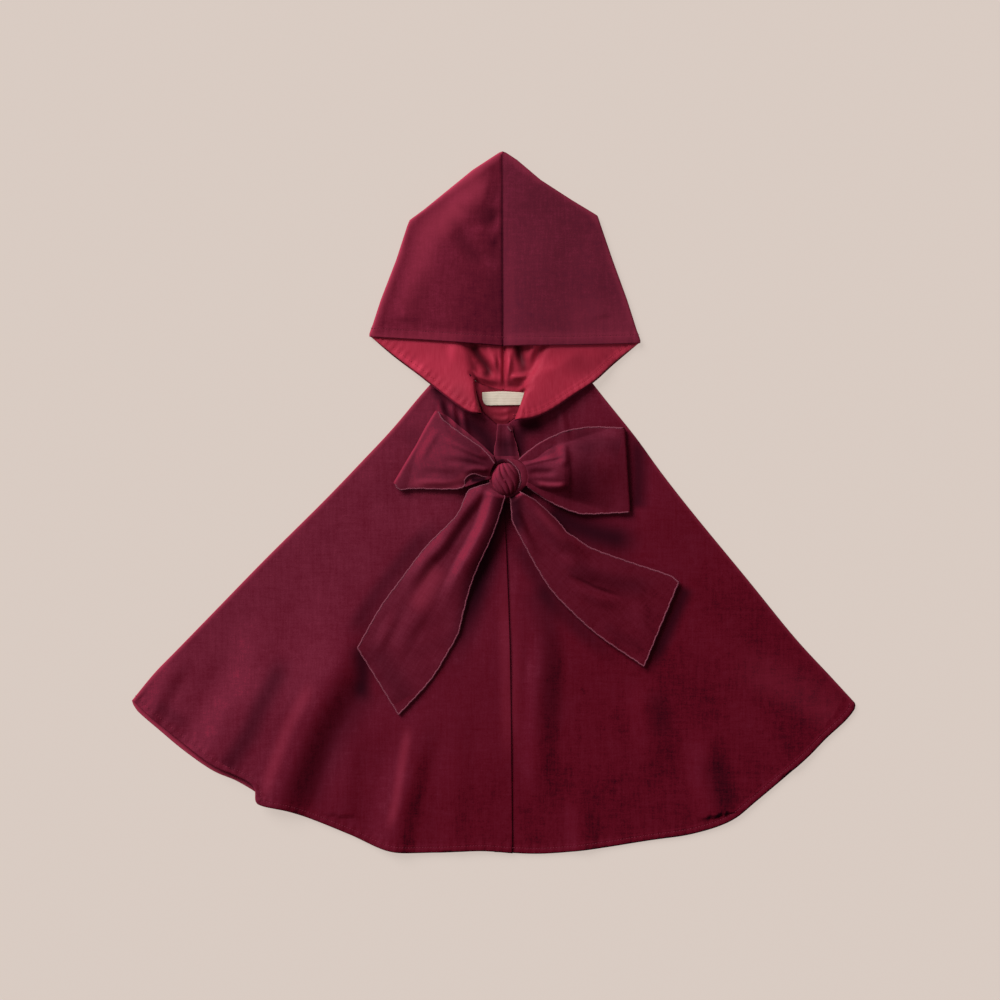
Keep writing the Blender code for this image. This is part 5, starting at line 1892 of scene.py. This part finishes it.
@dataclass(frozen=True)
class Band:
    """The ribbon's last turn, which lies round the knot as a ring with a hollow inside.

    Attributes:
        centre: Plan place of its middle.
        half: Half width and half length of its outline.
        base: Height of its foot in mm.
        height: Its own height in mm.
        widths: Its width in mm at angles in degrees from +X.
        corner: Below 1 for a fuller section.
    """

    centre: Point
    half: Point
    base: float
    height: float
    widths: Line = ((0, 12), (60, 9), (100, 5), (150, 5), (200, 6), (260, 5), (310, 7), (360, 12))
    corner: float = 0.5

    def mesh(self) -> MeshData:
        """The band's mesh, a closed ring."""
        sides, around = 24, 150
        angle = np.linspace(0.0, 360.0, around, endpoint=False)
        widths = np.array(self.widths, float)
        width = np.interp(angle, widths[:, 0], widths[:, 1])[:, None]
        turn = np.radians(angle)[:, None]
        section = 2 * math.pi * np.arange(sides)[None] / sides
        across, up = (np.sign(f(section)) * np.abs(f(section)) ** self.corner for f in (np.cos, np.sin))
        inward = width / 2 * (1 - across)
        wave = 1 + 0.05 * np.sin(3 * turn + 0.6)
        x = self.centre[0] + (self.half[0] - inward) * np.cos(turn) * wave
        y = self.centre[1] + (self.half[1] - inward) * np.sin(turn) * wave
        tilt = 1.2 * across * np.cos(turn)
        z = self.base + self.height / 2 * (1 + up) - tilt
        rows = grid_of(around, sides)
        faces = quads(np.vstack([rows, rows[:1]]))
        return MeshData(np.stack([x, y, z], -1).reshape(-1, 3), faces[:, ::-1])


@dataclass
class Bow:
    """The tied ribbon: a strand from the neck, two loops, two tails and the knot over them.

    Attributes:
        cape: The cape that it lies on.
        finishes: The materials.
        overlock: The ribbon's overlocked edge.
        centre: Plan place of the knot.
        half: Half width and half length of the knot.
        height: Height of the knot.
        knot_base: Height of the knot's foot.
        spacing: Mesh spacing.
        fold_clear: Clear height inside a loop at its outer fold.
        loop_rise: How far a loop comes up towards the knot.
        rise_reach: Share of the way to the fold over which it comes down again.
        resting: Clearance between a loop and the cape.
        wave_length: Usual length of the ribbon's gentle waves.
        ribbon_width: Width of the ribbon in metres.
        in_knot: Length of a loop or a tail that runs in under the knot, in metres.
    """

    cape: Cape
    finishes: Finishes
    overlock: Overlock = Overlock()
    centre: Point = (17.0, 27.5)
    half: Point = (22.5, 23.5)
    height: float = 20.0
    knot_base: float = 4.9
    spacing: float = 1.45
    fold_clear: float = 3.2
    loop_rise: float = 11.0
    rise_reach: float = 0.8
    resting: float = 0.25
    wave_length: float = 30.0
    ribbon_width: float = 0.092
    in_knot: float = 0.03

    def edge(self, points: Line) -> Array:
        """Smooth edge of the ribbon."""
        return flowing(points, self.spacing)

    def knot_arc(self, start: float, finish: float, inset: float = 2.0) -> Array:
        """Line just inside the knot's foot between two angles in degrees."""
        turn = np.radians(np.linspace(start, finish, 14))
        return np.array(self.centre) + np.stack([
            (self.half[0] - inset) * np.cos(turn), (self.half[1] - inset) * np.sin(turn)], axis=1)

    @property
    def loops(self) -> tuple[Loop, Loop]:
        """The two loops."""
        top = ((-60.5, 99), (-55, 90), (-40, 78), (-23, 66), (-12, 58), (-3, 48), (1, 42))
        foot = ((-107.5, 19.5), (-103, 14), (-85, 15), (-37, 15), (-31, 25), (-23, 31), (-11, 28), (-3, 27))
        back = ((-60.5, 99), (-50, 94), (-38, 84), (-16, 66), (-3, 54), (1, 50))
        sole = ((-107.5, 19.5), (-103, 14), (-85, 15), (-37, 16), (-26, 18), (-12, 23), (-3, 25))
        left = Loop(
            "left", (top[0], foot[0]),
            (self.edge(sole), self.knot_arc(184, 132), self.edge(back)[::-1]),
            (self.edge(foot), self.knot_arc(176, 142), self.edge(top)[::-1]),
            ((-2, 38), (-84, 58)), (13, 47),
            (Station(0, 4), Station(0.25, 7.5), Station(0.5, 8.2), Station(0.75, 5.5), Station(1, 0)), 0.62,
            (
                Fold(((-4, 46), (-34, 60), (-66, 76)), 3, 9, 11, 0.2, 0.5, narrow=0.4),
                Fold(((-4, 38), (-34, 44), (-62, 47)), -1.5, 8, 8, 0.25, 0.5, narrow=0.4),
                Fold(((-4, 34), (-22, 36), (-36, 32)), 2.4, 6, 6, 0.2, 0.5, narrow=0.6),
                Fold(((-32, 29), (-58, 31), (-84, 34)), -1.1, 7, 7, 0.35, 0.35),
                Fold(((-34, 20), (-60, 21), (-88, 22)), 1.6, 6, 6, 0.35, 0.35),
                Fold(((-60, 84), (-74, 60), (-84, 42)), 1.6, 9, 9, 0.4, 0.4),
            ), 15.0,
            # Painted shade and painted light on the loop.
            (
                Fold(((2, 44), (-12, 44), (-26, 46), (-44, 46)), 0.35, 16, 10, 0, 0.5),
                Fold(((-20, 50), (-32, 44), (-44, 38)), 0.15, 12, 10, 0.3, 0.5),
                Fold(((-98, 21), (-70, 20), (-46, 19), (-36, 24), (-28, 33)), -0.32, 9, 9, 0.2, 0.1),
                Fold(((-56, 82), (-34, 67), (-14, 55)), 0.32, 12, 12, 0.3),
                Fold(((-25, 24), (-16, 24), (-6, 25)), 0.9, 6, 5, 0.1, 0.2),
                Fold(((-64, 99), (-107, 22)), -0.2, 4, 4, 0.02),
            ),
        )
        crown = ((141.5, 81), (108, 82), (86, 79), (75, 76), (52, 65), (33, 51), (28, 46))
        heel = ((148, -11), (103, -13), (86, -10), (63, 0), (42, 13.5), (36, 18))
        outline = (self.edge(crown), self.knot_arc(46, -28), self.edge(heel)[::-1])
        right = Loop(
            "right", (heel[0], crown[0]), outline, outline,
            ((32, 34), (146, 35)), (14, 47),
            (Station(0, 4), Station(0.2, 8.5), Station(0.4, 14), Station(0.47, 11.5), Station(0.6, 9.5),
             Station(1, 1)), 0.7,
            (
                Fold(((30, 40), (52, 45), (76, 50)), 1.5, 2.6, 2.6, 0.2, 0.15, sharp=1.3),
                Fold(((34, 43), (56, 50), (74, 56)), -1.6, 6, 3.5, 0.25, 0.3),
                Fold(((77, 68), (78, 52), (79, 36)), 2.6, 6, 11, 0.3, 0.3),
                Fold(((36, 32), (56, 32), (72, 33)), -2, 6, 6, 0.25, 0.4),
                Fold(((40, 21), (60, 17), (84, 17)), 2.8, 6, 7, 0.3, 0.3),
                Fold(((92, 60), (112, 40), (120, 8)), 0.8, 16, 16, 0.4, 0.4),
            ), 0.0,
            # Painted shade and painted light on the loop.
            (
                Fold(((98, 72), (98, 40), (96, -4)), 0.3, 22, 34, 0.2, 0.2),
                Fold(((34, 36), (52, 38), (66, 38)), 0.3, 8, 8, 0, 0.4),
                Fold(((46, 21), (60, 19), (80, 20)), -0.3, 5, 5, 0.2, 0.2),
                Fold(((64, 62), (66, 52), (68, 44)), 0.3, 9, 9, 0.2, 0.2),
                Fold(((84, 76), (110, 68), (139, 62)), 0.26, 14, 22, 0.2),
            ),
        )
        return left, right

    @property
    def tails(self) -> tuple[Tail, Tail]:
        """The two tails."""
        outer = ((-2, 22), (-9, 19), (-26, 13), (-32, 2), (-41, -16), (-68, -43), (-81, -58), (-102, -86),
                 (-124, -116), (-149, -160))
        inner = ((-104, -233), (-70, -196), (-51, -166), (-39, -144), (-34, -124), (-26, -94), (-17, -70),
                 (-1, -35), (11, 1), (12, 8))
        left = Tail(
            "left", (self.edge(outer), self.edge((outer[-1], inner[0])), self.edge(inner), self.knot_arc(252, 208)),
            ((2, 16), (-30, -40), (-80, -125), (-128, -200)),
            (Station(0, 8), Station(0.2, 5.5), Station(0.45, 2.8), Station(0.8, 0.8), Station(1, 1.6)),
            (
                Fold(((-6, 18), (-26, -2), (-48, -33), (-60, -50), (-75, -66), (-91, -90), (-108, -114)), 4.2, 12, 14,
                     0.06, 0.45),
                Fold(((2, 14), (-7, -20), (-19, -46), (-33, -71), (-46, -98), (-54, -122)), 10, 26, 13, 0.05, 0.5),
                Fold(((-66, -96), (-92, -140), (-112, -180)), 1.4, 14, 18, 0.4, 0.4),
                Fold(((-100, -110), (-116, -140), (-128, -165)), 1, 10, 10, 0.4, 0.3),
            ), -32.0,
            # Painted shade and painted light on the tail.
            (
                Fold(((9, 4), (4, -24), (-12, -62), (-26, -98), (-36, -140), (-56, -176)), 0.55, 14, 14, 0, 0.4),
                Fold(((-18, 0), (-38, -32), (-52, -56), (-64, -76)), 0.3, 8, 8, 0.1, 0.5),
                Fold(((-56, -64), (-70, -90), (-90, -124)), -0.24, 18, 18, 0.3, 0.3),
                Fold(((-140, -150), (-118, -182), (-98, -216)), 0.26, 24, 26, 0.3),
            ),
        )
        outer = ((203, -88), (191, -80), (149, -66), (108, -51), (91, -40), (80, -33), (73, -24), (60, -11),
                 (45, 2), (33, 8.5), (28, 12))
        inner = ((17, 6), (19, 1), (21, -20), (26, -31), (36, -50), (48, -72), (62, -94), (79, -113),
                 (114, -145), (165, -180))
        right = Tail(
            "right", (self.edge(outer), self.knot_arc(-52, -90), self.edge(inner), self.edge((inner[-1], outer[0]))),
            ((22, 8), (60, -40), (110, -92), (184, -134)),
            (Station(0, 8), Station(0.2, 6.5), Station(0.45, 4.2), Station(0.8, 2.2), Station(1, 3.4)),
            (
                Fold(((27, 12), (46, -6), (62, -24), (80, -42), (112, -60)), 8, 11, 19, 0.05, 0.6),
                Fold(((20, 0), (34, -34), (52, -62)), 3, 8, 8, 0.2, 0.6),
                Fold(((78, -78), (84, -81), (109, -94), (146, -107)), -1.8, 4.5, 3.5, 0.3, 0.35),
                Fold(((80, -86), (108, -102), (140, -114)), 1.8, 5, 12, 0.4, 0.4),
                Fold(((70, -56), (100, -78), (120, -84)), 2, 14, 10, 0.4, 0.4),
                Fold(((140, -80), (160, -110), (168, -150)), 1.2, 14, 14, 0.4, 0.4),
            ), 46.0,
            # Painted shade and painted light on the tail.
            (
                Fold(((22, 6), (24, -16), (27, -44)), 0.8, 16, 12, 0, 0.4),
                Fold(((80, -62), (112, -82), (152, -91), (184, -93)), 0.32, 16, 22, 0.2, 0.3),
                Fold(((44, -2), (64, -26), (84, -46)), -0.1, 9, 9, 0.2, 0.4),
                Fold(((118, -134), (146, -152), (168, -160)), 0.15, 12, 12, 0.2, 0.2),
            ),
        )
        return left, right

    def beads(self, name: str, paths: Sequence[Array]) -> bpy.types.Object:
        """Adds the overlocked edges of a piece of the ribbon.

        Args:
            name: Name of the new piece.
            paths: Edges in three dimensions.

        Returns:
            One object with all of the beads.
        """
        data = MeshData.merged([self.overlock.bead(path) for path in paths])
        return make_piece(name, data, self.finishes.overlock, "ribbon")

    def edge_path(self, line: Array, under: Heights) -> Array:
        """Path of an overlocked edge along the middle of a cloth's thickness."""
        return np.column_stack([line, under(line) + self.cape.velvet / 2 + 0.15])

    def add_loop(self, loop: Loop) -> None:
        """Builds and dresses one loop.

        Args:
            loop: The loop.
        """
        velvet = self.cape.velvet
        fold = self.edge(loop.fold)
        axis = np.array(loop.axis, float)
        lower = PlanMesh(joined(fold, *self.following(fold, loop.lower)), self.spacing, Edge.PLAIN, len(fold))
        upper = PlanMesh(joined(fold, *self.following(fold, loop.upper)), self.spacing, Edge.PLAIN, len(fold))

        def under(points: Array) -> Array:
            """Underside of the lower layer, which comes up to the knot."""
            _, _, share = nearest(axis, points)
            raised_and_painted_light = self.loop_rise * (1 - smooth(0.0, self.rise_reach, share))
            wave = 0.25 * ripple(points, self.wave_length, 40)
            return self.cape.carries(points) + self.resting + wave + raised_and_painted_light

        def over(points: Array) -> Array:
            """Underside of the upper layer."""
            away, _, share = nearest(axis, points)
            width = loop.half_width[0] + (loop.half_width[1] - loop.half_width[0]) * share
            drooped = 1 - loop.droop * np.minimum(away / width, 1.1) ** 2
            puff = profile(loop.puff, share) * drooped
            from_fold = edge_distances(fold, points)
            wave = 0.2 * ripple(points, self.wave_length, 44) * smooth(0.0, 14.0, from_fold)
            soft = folds_lift(loop.folds, points) + wave
            raised_and_painted_light = self.loop_rise / 2 * (1 - smooth(0.0, self.rise_reach, share))
            rest = self.cape.carries(points) + self.resting + raised_and_painted_light
            closed = 1 - 0.8 * np.minimum(away / width, 1.0) ** 2 * smooth(0.0, 25.0, from_fold)
            return rest + velvet + self.fold_clear * closed + puff + soft * smooth(0.0, 12.0, from_fold)

        data = folded_sheet(lower, upper, under, over, velvet)
        finish = self.finishes.ribbon(f"loop_{loop.name}", loop.turn)
        # A little painted shade all over the loop, with its strokes of painted shade and painted light.
        piece = make_piece(f"loop_{loop.name}", data, finish, "ribbon", f"bow_loop_{loop.name}",
                           lambda p: 0.05 + folds_lift(loop.painted_shading_strokes, p))
        edges = self.beads(f"loop_{loop.name}_edges", [self.edge_path(line, over) for line in self.free(loop.upper)])
        long_side = 2 * float(np.linalg.norm(axis[1] - axis[0])) * MM + self.in_knot
        area = min(lower.area + upper.area, self.ribbon_width * long_side)

    def free(self, lines: Sequence[Array]) -> list[Array]:
        """The stretches of an outline that don't run under the knot."""
        return [line for line in lines if np.hypot(*((line - self.centre) / self.half).T).max() > 1.0]

    @staticmethod
    def following(fold: Array, lines: Sequence[Array]) -> list[Array]:
        """An outline's other stretches, turned so that they follow the fold's last point."""
        ends_at_fold = np.linalg.norm(lines[0][0] - fold[-1]) < 1.0
        return list(lines) if ends_at_fold else [line[::-1] for line in lines[::-1]]

    def add_tail(self, tail: Tail) -> None:
        """Builds and dresses one tail.

        Args:
            tail: The tail.
        """
        axis = flowing(tail.axis, LINE_STEP)
        plan = PlanMesh(joined(*tail.edges), self.spacing, Edge.PLAIN)

        def under(points: Array) -> Array:
            """Underside of the tail."""
            _, _, share = nearest(axis, points)
            wave = 0.2 * (1 + ripple(points, 32, 50 + len(tail.name)))
            return self.cape.carries(points) + profile(tail.lift, share) + folds_lift(tail.folds, points) + wave

        finish = self.finishes.ribbon(f"tail_{tail.name}", tail.turn)
        data = sheet(plan, under, self.cape.velvet)
        # The tail's colour carries its strokes of painted shade and painted light.
        piece = make_piece(f"tail_{tail.name}", data, finish, "ribbon", f"bow_tail_{tail.name}",
                           lambda p: folds_lift(tail.painted_shading_strokes, p))
        edges = self.beads(f"tail_{tail.name}_edges", [self.edge_path(line, under) for line in self.free(tail.edges)])
        length = float(np.linalg.norm(np.diff(axis, axis=0), axis=1).sum()) * MM + self.in_knot
        area = min(plan.area, self.ribbon_width * length)

    def add_strand(self) -> None:
        """Builds and dresses the strand that runs from the neck edge into the knot."""
        left = self.edge(((4.5, 86), (3.5, 72), (1, 56), (0, 40)))
        right = self.edge(((28, 40), (27.5, 52), (24, 66), (20.5, 78), (19.5, 87)))
        top = self.edge(((19.5, 87), (12, 85.5), (4.5, 86)))
        plan = PlanMesh(joined(left, self.edge(((0, 40), (28, 40))), right, top), 1.0, Edge.PLAIN)
        folds = (
            Fold(((5.5, 90), (4, 66), (4, 42)), 0.9, 6, 5, 0.15),
            Fold(((17, 90), (19, 66), (22, 42)), 1, 5, 6, 0.15),
        )

        def under(points: Array) -> Array:
            """Underside of the strand, which climbs towards the knot."""
            climb = 6.0 * (1 - smooth(42.0, 62.0, points[:, 1]))
            return self.cape.carries(points) + 0.5 + climb + folds_lift(folds, points)

        finish = self.finishes.ribbon("strand", 0.0)
        # Painted shade over the whole strand, strongest along its middle.
        painted_shadows = Fold(((14, 80), (14, 66), (14, 50)), 0.62, 22, 22, rise=0.5)
        piece = make_piece("strand", sheet(plan, under, self.cape.velvet), finish, "ribbon", "tie_strand",
                           lambda p: 0.15 + painted_shadows.lift(p))
        thin = Overlock(radius=0.4)
        data = MeshData.merged([thin.bead(self.edge_path(line, under)) for line in (left, right)])
        edges = make_piece("strand_edges", data, self.finishes.thread, "ribbon")
        tack = self.edge(((15.6, 83), (16.8, 80.4), (19.4, 78)))
        raised_and_painted_light = np.column_stack([tack, under(tack) + self.cape.velvet + 0.4])
        self.beads("strand_tack", [raised_and_painted_light])
        plan.area

    def add_knot(self) -> None:
        """Builds and dresses the knot: the ribbon's wrap and the pleated turn that bulges out of it."""
        band = Band((17.0, 27.0), (23.2, 21.6), self.knot_base, self.height - 8.0)
        bulge = Dome((13.4, 24.4), (17.2, 20.2), self.knot_base + 2.0, self.height - 1.5, 5, 2.0, 17.0)
        finish = self.finishes.ribbon("knot", 20.0)
        # Painted shadows along the knot's edges, and a little painted light all over it.
        painted_shadows = (
            Fold(((-3, 32), (0, 41), (8, 45.5), (17, 45)), 0.95, 6, 5, 0.1, 0.3),
            Fold(((-5, 24), (-4, 14), (2, 8)), 0.3, 6, 5, 0.1, 0.2),
            Fold(((36, 16), (28, 8), (14, 4)), 0.8, 6, 6, 0.1, 0.2),
        )
        make_piece("knot", MeshData.merged([band.mesh(), bulge.mesh()]), finish, "ribbon", "bow_knot",
                   lambda p: folds_lift(painted_shadows, p) - 0.06)
        rims = (
            (((15.1, 46.6), (25.1, 37.4), (29.6, 24.6), (26.9, 15.2)), 1.0),
            (((-6.6, 23.5), (-5.2, 14.2), (3.2, 7.2), (15.6, 5.8)), 0.45),
        )
        paths = []
        for rim, share in rims:
            line = self.edge(rim)
            paths.append(np.column_stack([line, np.full(len(line), band.base + share * band.height + 0.4)]))
        self.beads("knot_edges", paths)

    def build(self) -> None:
        """Builds and dresses every stretch of the ribbon."""
        self.add_strand()
        for loop in self.loops:
            self.add_loop(loop)
        for tail in self.tails:
            self.add_tail(tail)
        self.add_knot()


# The studio

@dataclass
class Studio:
    """Plain paper floor, soft light from the upper left and a camera straight above.

    Attributes:
        floor_size: Side of the floor in metres.
        floor_drop: How far it lies below the cape, in metres.
        centre: Place on the floor that the camera looks at, in metres.
        view_width: Width of the floor that the camera sees, in metres.
        camera_height: Height of the camera in metres.
        sensor: Width of its sensor in mm.
        key_strength: Strength of the soft light.
        key_softness: Angle that it fills as seen from the cape, in degrees.
        key_from: Where it stands, as degrees from the top of the view to the left and from overhead.
        air: Colour of the light from all round.
        air_strength: Strength of that light.
    """

    floor_size: float = 8.0
    floor_drop: float = 0.0004
    centre: Point = (0.00715, 0.0022)
    view_width: float = 1.1
    camera_height: float = 3.0
    sensor: float = 36.0
    key_strength: float = 4.3
    key_softness: float = 36.0
    key_from: Point = (42.0, 56.0)
    air: str = "#ffffff"
    air_strength: float = 0.26

    def build(self) -> None:
        """Adds the floor, the lights and the camera."""
        half = self.floor_size / 2
        corners = np.array([(-half, -half), (half, -half), (half, half), (-half, half)]) / MM
        vertices = np.column_stack([corners, np.full(4, -self.floor_drop / MM)])
        floor = make_piece("paper_floor", MeshData(vertices, np.array([(0, 1, 2), (0, 2, 3)])),
                           BackgroundPaper().make())

        key = bpy.data.lights.new("key_softbox", "SUN")
        key.energy = self.key_strength
        key.angle = math.radians(self.key_softness)
        lamp = bpy.data.objects.new("key_softbox", key)
        turn, tilt = (math.radians(a) for a in self.key_from)
        toward = Vector((-math.sin(turn) * math.sin(tilt), math.cos(turn) * math.sin(tilt), math.cos(tilt)))
        lamp.rotation_euler = toward.to_track_quat("Z", "Y").to_euler()
        lamp.location = toward * self.camera_height
        bpy.context.collection.objects.link(lamp)

        world = bpy.data.worlds.new("studio_air")
        world.use_nodes = True
        shade = world.node_tree.nodes["Background"]
        shade.inputs["Color"].default_value = linear(self.air)
        shade.inputs["Strength"].default_value = self.air_strength
        bpy.context.scene.world = world
        bpy.context.scene.view_settings.view_transform = "Standard"

        camera = bpy.data.cameras.new("camera")
        camera.sensor_width = self.sensor
        camera.lens = self.sensor * self.camera_height / self.view_width
        camera.clip_end = 50.0
        eye = bpy.data.objects.new("camera", camera)
        eye.location = (*self.centre, self.camera_height)
        bpy.context.collection.objects.link(eye)
        bpy.context.scene.camera = eye


def main() -> None:
    """Builds every piece of the cape and the studio."""
    logging.basicConfig(level=logging.INFO, format="%(name)s %(message)s")
    finishes = Finishes()
    cape = Cape(finishes)
    for part in (cape, Hood(cape, finishes), Neck(cape, finishes), Bow(cape, finishes), Studio()):
        part.build()
        LOG.info("%s is built", type(part).__name__)


if __name__ == "__main__":
    main()
